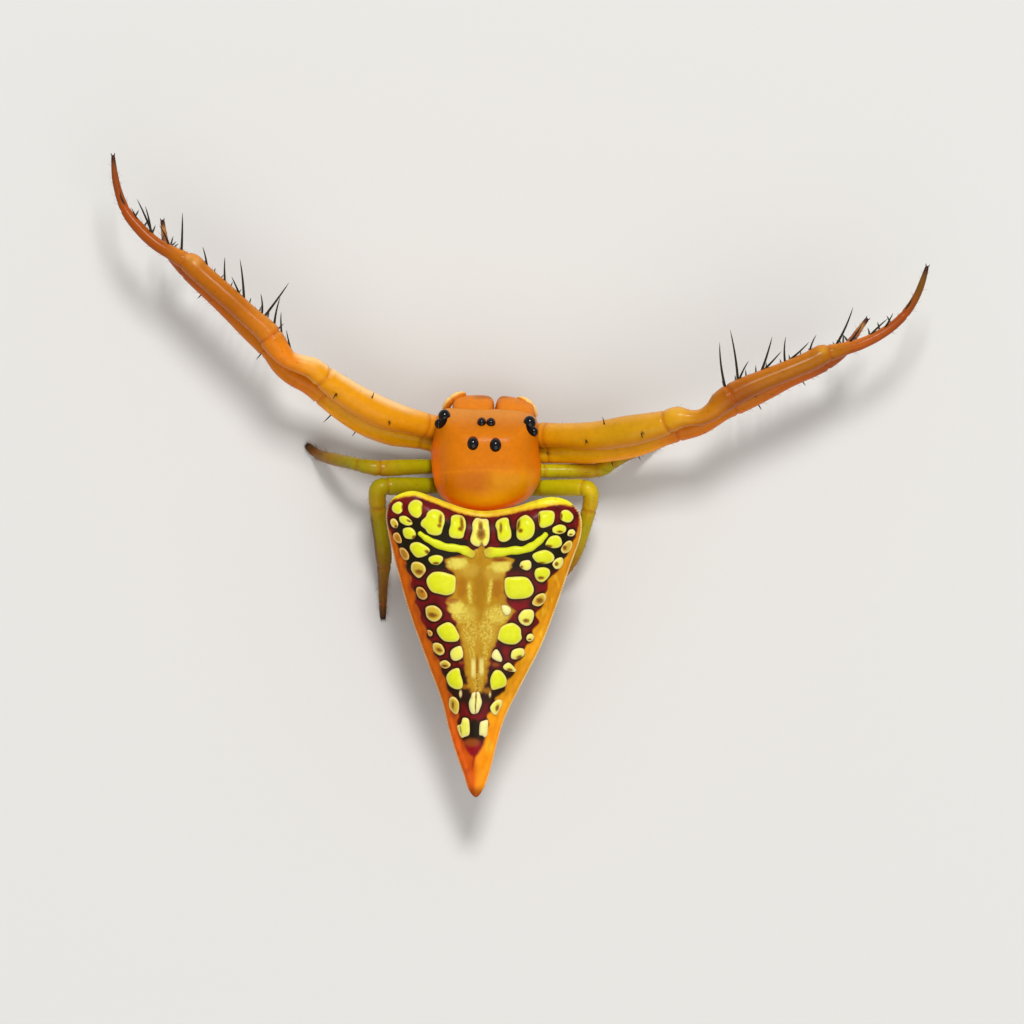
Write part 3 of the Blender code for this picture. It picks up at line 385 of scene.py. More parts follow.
carapace = {
    "centre": (486.0, 461.0),
    "outline": [
        (487, 409), (505, 409), (520, 410.5), (531, 414), (537, 420), (538.5, 430),
        (538.5, 443), (540, 456), (541.5, 469), (540, 480), (535.5, 490), (528, 498.5),
        (516, 505.5), (501, 511), (484, 513), (467, 511), (452, 505.5), (442, 498),
        (436, 488), (433, 477), (431.5, 466), (431, 455), (431.5, 446), (434, 434),
        (435.5, 424), (437, 416), (441, 410.5), (450, 408), (468, 408.5),
    ],
    "under": 1.50, "edge": 1.56, "rise": 1.14, "rearRise": 0.86, "browFall": 0.52,
    "power": (3.8, 14.0), "roundness": 0.58,  # how full it is in front and behind
    "rear": (462.0, 512.0), "brow": 443.0, "browLength": 34.0,  # pixel y where each begins and ends
    # under the eyes: pixel place, height in mm, reach in pixels
    "tubercles": [((442.5, 418.5), 0.17, 10.0), ((530.8, 425.5), 0.17, 10.0), ((486.8, 421.0), 0.05, 9.0)],
    # a faint bowed groove across the middle, with a painted highlight line along it, and a shallow pit behind
    # it
    "grooveY": 470.0, "grooveBow": 0.0016, "grooveDepth": 0.010, "grooveWidth": 2.2, "grooveHighlight": 1.6,
    "pit": (486.0, 484.0), "pitHalf": (5.0, 8.0), "pitDepth": 0.022,
    "glowEdges": (430.0, 542.0),  # pixel x of both sides, which are redder
    # pixel x or y over which each colour comes in
    "areas": {
        "sides": (478.0, 500.0), "body": (462.0, 482.0), "front": (408.0, 428.0), "back": (486.0, 508.0),
        "glowX": (470.0, 500.0), "glowFront": (432.0, 446.0), "glowBack": (480.0, 500.0),
        "rimLightY": (440.0, 500.0), "rimRight": (524.0, 538.0),
    },
    "colours": {
        "front": rgb(224, 142, 40), "head": rgb(204, 112, 4), "left": rgb(190, 104, 2),
        "right": rgb(210, 136, 4), "edge": rgb(255, 112, 2), "line": rgb(232, 136, 14),
        # back: brighter rear colour, painted light against the abdomen's shadow on the carapace
        "back": rgb(246, 172, 6),
    },
}


def behindGroove(px, py):
    return py - carapace["grooveY"] - carapace["grooveBow"] * (px - carapace["centre"][0]) ** 2


def carapaceTop(px, py, share):
    rear = ramp(*carapace["rear"], py)
    brow = min(1.0, max(0.0, (carapace["brow"] - py) / carapace["browLength"]))
    rise = between(carapace["rise"], carapace["rearRise"], rear) * (1.0 - carapace["browFall"] * brow ** 2)
    z = carapace["edge"] + rise * dome(share, between(*carapace["power"], rear), carapace["roundness"])
    for place, height, reach in carapace["tubercles"]:
        z += height * bell(oval(px, py, place, (reach, reach))) * dome(share, 10.0, 1.0)
    groove = bell(behindGroove(px, py) / carapace["grooveWidth"]) * dome(share, 4.0, 1.0)
    z -= carapace["grooveDepth"] * groove
    return z - carapace["pitDepth"] * bell(oval(px, py, carapace["pit"], carapace["pitHalf"]))


def carapaceUnder(px, py, share):  # level across, so only the share counts
    return between(carapace["under"], carapace["edge"], min(1.0, share) ** 6)


def shareOf(outline, centre, px, py):  # 0 at the centre of an outline, 1 on it
    dx, dy = px - centre[0], py - centre[1]
    if abs(dx) + abs(dy) < 1e-9:
        return 0.0
    a = np.array(outline) - np.array(centre)
    b = np.roll(a, -1, axis=0)
    det = dx * (a[:, 1] - b[:, 1]) - dy * (a[:, 0] - b[:, 0])
    det[np.abs(det) < 1e-12] = 1e-12
    r = (a[:, 0] * (a[:, 1] - b[:, 1]) - a[:, 1] * (a[:, 0] - b[:, 0])) / det
    u = (dx * a[:, 1] - dy * a[:, 0]) / det
    hit = (r > 0.0) & (u >= -1e-9) & (u <= 1.0 + 1e-9)
    return 1.0 / r[hit].min()


carapaceEdge = evenOutline(carapace["outline"], 180)


def carapaceHeight(px, py):
    return carapaceTop(px, py, shareOf(carapaceEdge, carapace["centre"], px, py))


def carapaceTint(v):
    px, py = pixelOf(v.co)
    c = carapace["colours"]
    areas = carapace["areas"]
    sides = between(c["left"], c["right"], ramp(*areas["sides"], px))
    out = between(c["head"], sides, ramp(*areas["body"], py))
    out = between(out, c["front"], 0.8 * (1.0 - ramp(*areas["front"], py)))
    # painted light: the rear is brightened where the abdomen shades it
    out = between(out, c["back"], 0.9 * ramp(*areas["back"], py))
    # painted highlight line along the groove
    out = between(out, c["line"], 0.25 * bell(behindGroove(px, py) / carapace["grooveHighlight"]))
    left, right = carapace["glowEdges"]
    glow = between(0.75, 0.35, ramp(*areas["glowX"], px))
    glow *= 1.0 - ramp(0.0, 16.0, min(px - left, right - px))
    glow *= ramp(*areas["glowFront"], py) * (1.0 - ramp(*areas["glowBack"], py))
    out = between(out, c["edge"], glow)
    # painted light: the colour is brightened near the outline, against the shade on the steep rim and under
    # the abdomen
    rim = ramp(0.80, 0.98, shareOf(carapaceEdge, carapace["centre"], px, py)) * ramp(*areas["rimLightY"], py)
    rim *= between(1.1, 0.45, ramp(*areas["rimRight"], px))
    return out * (1.0 + rim + 0.05 * grain(px, py, 12.0))


print("carapace")
shellLook = {"roughness": 0.32, "coat": 0.10, "grain": 9000.0, "mottle": 0.05, "bump": 0.2, "specular": 0.10}
amber = cuticle("amberShell", dict(shellLook, roughness=0.38, coat=0.03))
top = [1.0, 0.996, 0.985, 0.965, 0.94] + [0.91 - 0.035 * i for i in range(26)]
bm = shell(carapaceEdge, carapace["centre"], top, (0.995, 0.9, 0.6, 0.2), carapaceTop, carapaceUnder)
addPiece("carapaceSkin", bm, amber, ["carapace"], carapaceTint)

# Eyes

eyes = {
    "places": [  # CAD node, pixel place, radius in mm, share sunk, drop in mm
        ("eye_posterior_median_left", (473.0, 444.0), 0.135, 0.35, 0.0),
        ("eye_posterior_median_right", (495.5, 445.5), 0.140, 0.35, 0.0),
        ("eye_anterior_median_left", (481.7, 422.6), 0.092, -0.50, 0.0),
        ("eye_anterior_median_right", (490.9, 422.9), 0.092, -0.50, 0.0),
        ("eye_anterior_lateral_left", (444.4, 416.2), 0.138, -0.10, 0.0),
        ("eye_anterior_lateral_right", (529.6, 422.8), 0.142, -0.10, 0.0),
        ("eye_posterior_lateral_left", (438.7, 423.8), 0.098, 0.10, 0.05),
        ("eye_posterior_lateral_right", (533.8, 431.7), 0.100, 0.10, 0.05),
    ],
    "rim": 1.14, "rimLift": 0.62, "rimSink": 0.12, "tall": 1.14,
    # dark patch under each pair of side eyes: middle, half width, half length, turn
    "patches": [((441.1, 420.4), 5.8, 9.3, 27.0), ((532.1, 427.6), 5.8, 9.5, -22.0)],
    "patchLift": 0.022, "patchSink": 0.004, "patchUnder": 0.05,
    "patchShare": 0.935,  # a patch stays within this share of the carapace
    "black": rgb(8, 4, 6), "rimColour": rgb(120, 48, 8),
    "patchColour": rgb(14, 3, 6), "patchEdge": rgb(84, 24, 12),
}
print("eyes")
lens = cuticle("eyeLens", {
    "colour": eyes["black"], "roughness": 0.06, "specular": 0.34,
})
socket = cuticle("eyeRim", {"roughness": 0.5, "grain": 9000.0, "mottle": 0.05, "specular": 0.06})


def eyeBall(middle, radius, bands, tall, high):
    ball = bmesh.new()
    bmesh.ops.create_uvsphere(ball, u_segments=32, v_segments=bands, radius=radius)
    bmesh.ops.scale(ball, verts=ball.verts, vec=(1.0, tall, high))
    bmesh.ops.translate(ball, verts=ball.verts, vec=middle)
    return ball


def eyePatch(place, wide, tall, turn):
    ring = []
    for u, w in ovalRing((0.0, 0.0), (wide, tall), 48):
        dx, dy = turnBy(u, w, -turn)
        x, y = place[0] + dx, place[1] + dy
        keep = min(1.0, eyes["patchShare"] / shareOf(carapaceEdge, carapace["centre"], x, y))
        ring.append((between(carapace["centre"][0], x, keep), between(carapace["centre"][1], y, keep)))

    def top(x, y, share):
        return carapaceHeight(x, y) + eyes["patchLift"] * dome(share, 4.0, 1.0) - eyes["patchSink"]

    def below(x, y, share):
        return carapaceHeight(x, y) - eyes["patchUnder"]
    return shell(ring, place, (1.0, 0.98, 0.94, 0.88, 0.8, 0.65, 0.45, 0.2), (0.9, 0.4), top, below)


def rimTint(v):
    px, py = pixelOf(v.co)
    out = eyes["rimColour"]
    for (qx, qy), wide, tall, turn in eyes["patches"]:
        share = oval(*turnBy(px - qx, py - qy, turn), (0.0, 0.0), (wide, tall))
        if share < 1.5:
            out = between(eyes["patchColour"], eyes["patchEdge"], ramp(0.90, 1.02, share))
    return out


balls = []
rims = []
for name, (px, py), radius, sunk, drop in eyes["places"]:
    middle = at(px, py, carapaceHeight(px, py) - radius * sunk - drop)
    r = radius * plan["metres"]
    balls.append(eyeBall(middle, r, 20, eyes["tall"], 1.0))
    if "lateral" not in name:
        rims.append(eyeBall(
            middle - Vector((0, 0, r * eyes["rimSink"])), r * eyes["rim"], 14, eyes["tall"],
            eyes["rimLift"],
        ))
for row in eyes["patches"]:
    rims.append(eyePatch(*row))
addPiece("eyes", gather(balls), lens, [row[0] for row in eyes["places"]])
addPiece("eyeRims", gather(rims), socket, (), rimTint)

# Jaws, feelers and the underside of the fore body

mouth = {
    "cheliceraLeft": [
        (474, 430, 1.34, 26), (473.4, 421, 1.32, 37), (473.4, 413.8, 1.14, 42.0),
        (474.0, 411.8, 0.88, 39.6), (476, 412.2, 0.60, 30), (479.5, 412.8, 0.40, 18),
    ],
    "cheliceraRight": [
        (509, 431, 1.34, 26), (512.4, 422, 1.32, 35), (513.6, 414.8, 1.14, 38.6),
        (512.2, 412.8, 0.88, 36.8), (507, 413.2, 0.60, 28), (502.5, 413.8, 0.40, 18),
    ],
    "fangLeft": [
        (479.8, 412.9, 0.46, 9),
        (481, 413, 0.29, 7), (486.5, 416, 0.21, 6), (488.5, 422.5, 0.19, 4.4),
        (485.5, 429, 0.27, 1.8),
    ],
    "fangRight": [
        (502.2, 413.9, 0.46, 9),
        (500.5, 414, 0.29, 7), (496.5, 417.5, 0.21, 6), (496, 424, 0.19, 4.4),
        (499, 430, 0.27, 1.8),
    ],
    "palpLeft": [
        (467.5, 431, 0.80, 7.2), (457, 427.3, 0.82, 7.6), (449.5, 418, 0.88, 8.4),
        (445.6, 409.8, 0.98, 8.4), (448.4, 402.6, 1.08, 8.4), (453.6, 397.4, 1.12, 7.6),
        (459.8, 394.3, 1.10, 6.4), (466.0, 393.6, 1.02, 4.4),
    ],
    "palpRight": [
        (506.5, 433, 0.80, 7.2), (517.5, 430.8, 0.82, 7.6), (528.4, 424.6, 0.88, 8.4),
        (533.4, 415.5, 0.98, 8.6), (532.0, 408.2, 1.08, 8.4), (528.2, 402.8, 1.12, 7.6),
        (522.6, 399.4, 1.10, 6.4), (516.8, 398.0, 1.02, 4.4),
    ],
    "square": 4.6, "cheliceraDepth": 0.84, "cheliceraRound": 0.0002, "palpRound": 0.00009,
    # joint rings of the palps as shares of their length, and how far they narrow
    "palpJoints": (0.32, 0.55, 0.74), "palpJointWidth": 0.02, "palpJointDepth": 0.16,
    # the tips darken between these heights in mm, and the upper lip gets a painted shadow line in front of
    # these pixels
    "tipZ": (0.30, 0.55), "lipZ": (1.06, 1.16), "lipY": (397.8, 399.4),
    "lipLeft": (470.0, 480.0), "lipRight": (502.0, 514.0), "lipShadowShare": 0.38,
    "cheliceraColour": rgb(220, 124, 26), "cheliceraTip": rgb(120, 48, 14), "cheliceraFrontShadow": rgb(70, 26, 10),
    "fangColour": rgb(58, 20, 10),
    "palpOuter": rgb(248, 206, 120), "palpInner": rgb(216, 122, 26),
    # the palps are pale on the sides away from this place, partly their own pale colour and partly painted
    # highlight; both values are in pixels
    "palpsFace": (486.0, 440.0), "palpsReach": 46.0,
}
print("mouth parts")
horn = cuticle("fangHorn", {
    "colour": mouth["fangColour"], "roughness": 0.2, "coat": 0.6, "grain": 9000.0, "bump": 0.1,
})
palpShell = cuticle("palpShell", dict(shellLook, roughness=0.3, coat=0.3))


# pale on the outer, upper side, partly real pale colour and partly painted highlight
def palpTint(way):  # pale on the outer side, orange towards the head
    def tint(v):
        px, py = pixelOf(v.co)
        faceX, faceY = mouth["palpsFace"]
        outer = ((px - faceX) * -v.normal.x + (py - faceY) * v.normal.y) / mouth["palpsReach"]
        pale = ramp(-0.1, 0.75, outer) * ramp(-0.5, 0.5, v.normal.z)
        out = between(mouth["palpInner"], mouth["palpOuter"], pale)
        share = way.nearestTo(v.co) / way.run[-1]
        return between(mouth["palpInner"], out, ramp(0.25, 0.5, share))
    return tint


def cheliceraTint(v):
    px, py = pixelOf(v.co)
    z = millimetres(v.co.z)
    out = between(mouth["cheliceraTip"], mouth["cheliceraColour"], ramp(*mouth["tipZ"], z))
    # painted shadow line along the front lip
    lip = (1.0 - ramp(*mouth["lipY"], py)) * ramp(*mouth["lipZ"], z)
    lip *= ramp(*mouth["lipLeft"], px) * (1.0 - ramp(*mouth["lipRight"], px))
    return between(out, mouth["cheliceraFrontShadow"], mouth["lipShadowShare"] * lip) * (1.0 + 0.06 * grain(px, py, 7.0))


def palpWidth(way):
    def width(length):
        away = [(length / way.run[-1] - joint) / mouth["palpJointWidth"] for joint in mouth["palpJoints"]]
        return 1.0 - mouth["palpJointDepth"] * sum(bell(d) for d in away)
    return width


for side in ("Left", "Right"):
    bm = tube(
        Way(mouth["chelicera" + side]), 40, 48, depth=mouth["cheliceraDepth"],
        roundStart=mouth["cheliceraRound"], roundStop=mouth["cheliceraRound"], square=mouth["square"],
    )
    addPiece("chelicera" + side, bm, amber, ["chelicera_" + side.lower()], cheliceraTint)
    bm = tube(Way(mouth["fang" + side]), 20, 16, depth=1.0)
    addPiece("fang" + side, bm, horn, ["fang_" + side.lower()])
    way = Way(mouth["palp" + side])
    bm = tube(way, 70, 24, palpWidth(way), depth=1.0, roundStop=mouth["palpRound"])
    addPiece("palp" + side, bm, palpShell, ["pedipalp_" + side.lower()], palpTint(way))

under = {
    "sternumCentre": (486.0, 465.0),
    "sternum": [
        (487, 438), (499, 441), (506, 449), (508.5, 463), (506, 478), (498, 492),
        (486, 499), (475, 491), (466, 477), (463.5, 462), (465.5, 447), (474, 439.5),
    ],
    "sternumTop": 1.42, "sternumDepth": 0.56, "sternumFall": 0.08,
    "plates": [  # CAD node, centre, half sizes, low and high in mm
        ("labium", (487.0, 434.0), (6.4, 2.8), 0.86, 1.24),
        ("maxilla_left", (474.5, 433.6), (5.0, 4.2), 0.80, 1.26),
        ("maxilla_right", (500.2, 434.6), (5.0, 4.2), 0.80, 1.26),
    ],
    "pedicel": [
        (485.8, 502.5, 1.26, 12), (485.2, 512, 1.34, 10),
        (484.6, 522, 1.50, 11), (484.4, 528, 1.62, 13),
    ],
    "colour": rgb(206, 118, 22), "edgeColour": rgb(150, 62, 14),
}
print("under side")
underEdge = evenOutline(under["sternum"], 72)
underRim = under["sternumTop"] - under["sternumFall"]


def sternumTint(v):
    share = shareOf(underEdge, under["sternumCentre"], *pixelOf(v.co))
    return between(under["colour"], under["edgeColour"], 0.7 * ramp(0.7, 1.0, share))


def plainTint(v):
    return under["colour"]


bm = shell(
    underEdge, under["sternumCentre"], (1.0, 0.97, 0.8, 0.4, 0.1), [0.05 + 0.07 * i for i in range(14)],
    lambda px, py, share: between(under["sternumTop"], underRim, share ** 8),
    lambda px, py, share: underRim - (under["sternumDepth"] - under["sternumFall"]) * dome(share),
)
addPiece("sternumPlate", bm, amber, ["sternum"], sternumTint)
for node, centre, half, low, high in under["plates"]:
    middle = 0.5 * (low + high)
    rise = 0.5 * (high - low)
    shares = (0.98, 0.93, 0.85, 0.7, 0.45, 0.15)
    bm = shell(
        ovalRing(centre, half, 32), centre, (1.0, *shares), shares,
        lambda px, py, share: middle + rise * dome(share),
        lambda px, py, share: middle - rise * dome(share),
    )
    addPiece(node.replace("_", "") + "Plate", bm, amber, [node], plainTint)
bm = tube(Way(under["pedicel"]), 24, 24, depth=0.9)
addPiece("waist", bm, amber, ["pedicel"], plainTint)

# Abdomen

abdomen = {
    "centre": (484.0, 578.0),
    "outline": [
        (483, 511), (500, 509.5), (516, 506.5), (533, 501), (550, 497), (565, 499.4),
        (575.4, 507), (581.2, 518), (580.4, 537), (571, 564), (557.5, 603), (542, 644),
        (522.6, 682), (505.6, 716), (498, 740), (493, 760), (488.4, 777), (483, 789.5),
        (476, 797.5), (468.6, 789.5), (461.6, 770), (454.6, 750), (448.2, 728), (441.2, 700),
        (427.2, 662), (410.2, 615), (399.4, 578), (390, 540), (386, 517), (390, 502),
        (400, 494), (414, 491), (431, 496), (449, 503), (466, 508.5),
    ],
    "frontY": 497.0, "tailY": 797.0, "around": 560,
    # heights in mm at the front and at the tail
    "rimFront": 2.98, "rimTail": 1.80, "riseFront": 0.50, "riseTail": 0.30,
    "depthFront": 1.80, "depthTail": 0.36, "fold": 0.010,
    "foldWaves": (0.08, 0.55),  # radians for each pixel across and along
    "topPower": 4.5, "underPower": 2.9, "underRoundness": 0.62,
    # a raised lip near the edge and a groove inside it, as shares of the outline
    "lipAt": 0.965, "lipWidth": 0.022, "lipRise": 0.020,
    "grooveAt": 0.90, "grooveWidth": 0.035, "grooveDepth": 0.030,
    # a shallow seam along the middle: pixel x and width, depth in mm, pixel y where it begins and ends
    "seamX": 479.0, "seamWidth": 3.0, "seamDepth": 0.014,
    "seamFrom": (600.0, 640.0), "seamTo": (690.0, 705.0),
    "middle": [(500.0, 484.0), (700.0, 477.0), (797.0, 475.0)],  # pixel y, pixel x of the middle line
    # pixel y, width of the left rim, width of the right rim
    "rim": [
        (500.0, 0.0, 0.0), (520.0, 0.0, 2.2), (532.0, 2.5, 4.5), (545.0, 6.0, 6.5), (560.0, 9.0, 9.0),
        (578.0, 11.0, 14.2), (589.0, 10.4, 16.0), (598.0, 10.0, 14.0), (613.0, 9.5, 15.0),
        (631.0, 10.0, 11.0), (648.0, 10.5, 12.0), (666.0, 11.5, 13.0), (684.0, 10.0, 13.0),
        (700.0, 11.5, 14.5), (716.0, 12.5, 15.5), (732.0, 9.0, 13.5), (744.0, 10.2, 12.6),
        (750.0, 11.4, 13.6), (755.0, 13.2, 16.5), (760.0, 20.0, 22.0), (768.0, 28.0, 28.0),
        (797.0, 30.0, 30.0),
    ],
    # pixel y, left and right edge of the golden middle
    "gold": [
        (548.0, 479.0, 483.0), (553.0, 470.0, 492.0), (559.0, 446.0, 513.0), (567.0, 447.0, 511.0),
        (573.0, 455.0, 505.0), (584.0, 456.0, 504.0), (594.0, 452.0, 504.0), (602.0, 446.5, 505.0),
        (611.0, 449.0, 515.0), (620.0, 456.0, 507.0), (631.0, 459.0, 501.0), (649.0, 463.5, 492.0),
        (666.0, 465.5, 488.0), (680.0, 467.5, 486.0), (692.0, 470.0, 482.0), (695.0, 475.0, 477.0),
    ],
    "frontRim": [  # pixel x, thickness of the yellow front rim
        (388.0, 0.0), (398.0, 3.0), (408.0, 5.2), (420.0, 5.0), (440.0, 5.6), (484.0, 6.2), (520.0, 6.2),
        (533.0, 7.6), (545.0, 9.4), (556.0, 8.0), (567.0, 4.5), (577.0, 0.0),
    ],
    # colours of places in the golden middle: pixel place, half sizes, amount, colour; the arc patches just
    # below the two bands are painted shadow
    "patches": [
        ((462.0, 587.0), (6.5, 15.0), 1.0, "amber"), ((497.0, 588.0), (7.5, 15.0), 1.0, "amber"),
        ((480.0, 588.0), (8.0, 34.0), 1.0, "stripe"),
        ((471.0, 548.0), (9.0, 7.0), 0.9, "beige"), ((493.0, 549.0), (10.0, 6.0), 0.9, "beige"),
        ((470.0, 570.0), (14.0, 9.0), 0.5, "beige"), ((494.0, 573.0), (14.0, 9.0), 0.5, "beige"),
        ((457.5, 563.0), (12.5, 7.5), 0.95, "pale"), ((502.0, 566.5), (14.5, 7.5), 0.9, "pale"),
        ((458.0, 556.0), (11.5, 2.6), 1.0, "arc"), ((499.5, 559.8), (10.5, 2.6), 1.0, "arc"),
        ((456.5, 607.5), (10.0, 10.0), 0.85, "pale"), ((466.0, 613.0), (15.0, 11.0), 0.32, "pale"),
        ((499.0, 614.0), (15.0, 11.0), 0.40, "pale"),
        ((472.0, 640.0), (13.0, 22.0), 0.22, "beige"), ((490.0, 630.0), (12.0, 22.0), 0.35, "beige"),
    ],
    # where the gold is flecked: pixel place, half sizes, amount
    "flecked": [
        ((458.0, 614.0), (13.0, 11.0), 1.0), ((496.0, 615.0), (14.0, 10.0), 0.9),
        ((470.0, 630.0), (9.0, 16.0), 0.75), ((486.0, 632.0), (9.0, 16.0), 0.75),
        ((472.0, 648.0), (3.6, 16.0), 0.8), ((485.5, 648.0), (3.6, 16.0), 0.8),
        ((456.0, 564.0), (12.0, 5.0), 0.5), ((505.0, 568.0), (12.0, 5.0), 0.5),
        ((478.0, 682.0), (6.0, 12.0), 0.6),
    ],
    "colours": {
        "maroon": rgb(126, 20, 20), "maroonDark": rgb(78, 12, 14), "black": rgb(30, 22, 6),
        "gold": rgb(178, 130, 14), "stripe": rgb(164, 114, 2), "amber": rgb(166, 106, 4),
        # arc: brown painted as shadow under the bands, also used for the line between the pale bars
        "arc": rgb(140, 72, 8),
        "pale": rgb(222, 206, 84), "beige": rgb(200, 164, 58), "cream": rgb(232, 218, 124),
        "front": rgb(206, 120, 10), "leftRim": rgb(184, 86, 4), "rightRim": rgb(206, 132, 4),
        "rightLow": rgb(236, 158, 18), "rimLine": rgb(238, 190, 40), "lip": rgb(250, 222, 150),
        "frontRim": rgb(232, 198, 38), "frontCorner": rgb(234, 224, 36), "frontLow": rgb(218, 148, 28),
        "tail": rgb(212, 88, 10), "tailRight": rgb(246, 144, 8), "tip": rgb(142, 58, 4),
        "under": rgb(96, 42, 20), "underPale": rgb(214, 160, 60),
        "brown": rgb(150, 80, 24), "wine": rgb(148, 14, 26),
    },
    # rows of beads on the gold: pixel x, where they begin, how far they lean
    "beads": [(469.6, 582.0, 0.05), (490.0, 580.0, -0.12)], "beadsEnd": (600.0, 606.0), "beadsLeanY": 590.0,
    # pale bars near its end: pixel place, half length
    "bars": [((473.4, 668.0), 8.5), ((481.6, 666.5), 7.5)], "barLine": 477.2, "barLineY": (652.0, 662.0),
    # small places on the ground: pixel place, half sizes, colour, amount
    "spots": [
        ((465.0, 686.5), (5.0, 3.0), "rightRim", 0.45), ((487.5, 690.5), (5.0, 3.4), "rightRim", 0.5),
        ((460.6, 693.5), (1.7, 4.4), "lip", 0.75), ((490.0, 694.5), (1.5, 2.6), "lip", 0.7),
        ((471.4, 747.5), (12.6, 9.5), "wine", 0.85), ((472.0, 742.5), (9.5, 5.0), "brown", 0.7),
        ((478.0, 716.5), (8.0, 3.0), "wine", 0.4),
        ((495.5, 664.5), (4.5, 2.4), "brown", 0.7), ((462.0, 662.5), (4.0, 1.8), "brown", 0.5),
        ((452.5, 601.0), (8.0, 3.4), "wine", 0.5), ((520.0, 606.0), (10.0, 4.0), "wine", 0.45),
    ],
    # black bars between the last studs: pixel place, half sizes, share where each begins and ends
    "blackBars": [((474.5, 730.0), (6.0, 12.5), (0.75, 1.05)), ((473.0, 739.0), (12.0, 2.6), (0.8, 1.1))],
    "tailGleam": ((489.0, 746.5), (5.0, 9.0)),
    "frontRimEnds": (440.0, 530.0), "cornerLeft": (414.0, 434.0), "cornerRight": (522.0, 540.0),
    "frontEnd": 530.0, "frontRimLast": 572.0, "frontRimCorner": 512.0,  # pixel y, pixel x, pixel y
    # pixel y over which each part of the pattern comes or goes; the last row is in pixels across
    "areas": {
        "rightLow": (600.0, 650.0), "dullFrom": (650.0, 664.0), "dullTo": (690.0, 708.0),
        "tail": (690.0, 745.0), "tip": (783.0, 795.0), "front": (520.0, 560.0),
        "shoulderEnd": (566.0, 580.0), "bandFrom": (537.0, 541.0), "bandTo": (544.0, 550.0),
        "halo": (508.0, 524.0), "lastBlackFrom": (664.0, 672.0), "lastBlackTo": (700.0, 708.0),
        "goldFrom": (541.0, 545.0), "goldTo": (690.0, 696.0), "rimFrom": (505.0, 520.0),
        "calmTail": (725.0, 738.0), "softTail": (725.0, 745.0), "gleamEnd": (690.0, 720.0),
        "creaseEnd": (764.0, 777.0), "lipFrom": (500.0, 512.0), "lipTo": (780.0, 792.0),
        "lipThin": (680.0, 700.0), "bellyEnd": (735.0, 760.0), "shoulderFrom": (514.0, 525.0),
        "shoulderX": (400.0, 520.0), "frontOff": (60.0, 100.0), "lipOff": (40.0, 60.0),
    },
    "creaseX": 474.0, "creaseY": 757.0, "creaseLean": 0.16,
}


def alongAbdomen(py):
    return min(1.0, max(0.0, (py - abdomen["frontY"]) / (abdomen["tailY"] - abdomen["frontY"])))


def abdomenTop(px, py, share):
    t = alongAbdomen(py)
    s = min(1.0, share)
    z = between(abdomen["rimFront"], abdomen["rimTail"], t)
    z += between(abdomen["riseFront"], abdomen["riseTail"], t) * dome(s, abdomen["topPower"], 1.0)
    z += abdomen["lipRise"] * bell((s - abdomen["lipAt"]) / abdomen["lipWidth"])
    z -= abdomen["grooveDepth"] * bell((s - abdomen["grooveAt"]) / abdomen["grooveWidth"])
    seam = bell((px - abdomen["seamX"]) / abdomen["seamWidth"])
    seam *= ramp(*abdomen["seamFrom"], py) * (1.0 - ramp(*abdomen["seamTo"], py))
    return z - abdomen["seamDepth"] * seam


def abdomenUnder(px, py, share):
    t = alongAbdomen(py)
    rim = between(abdomen["rimFront"], abdomen["rimTail"], t)
    depth = between(abdomen["depthFront"], abdomen["depthTail"], ramp(0.10, 1.05, t) ** 0.8)
    acrossWaves, alongWaves = abdomen["foldWaves"]
    folds = math.sin(alongWaves * py + acrossWaves * px)
    folds *= ramp(0.5, 0.8, share) * (1.0 - ramp(0.94, 1.0, share))
    depth *= dome(share, abdomen["underPower"], abdomen["underRoundness"])
    return rim - depth + abdomen["fold"] * folds


abdomenEdge = evenOutline(abdomen["outline"], abdomen["around"])
coarseEdge = evenOutline(abdomen["outline"], 90)


def abdomenHeight(px, py):
    return abdomenTop(px, py, shareOf(coarseEdge, abdomen["centre"], px, py))


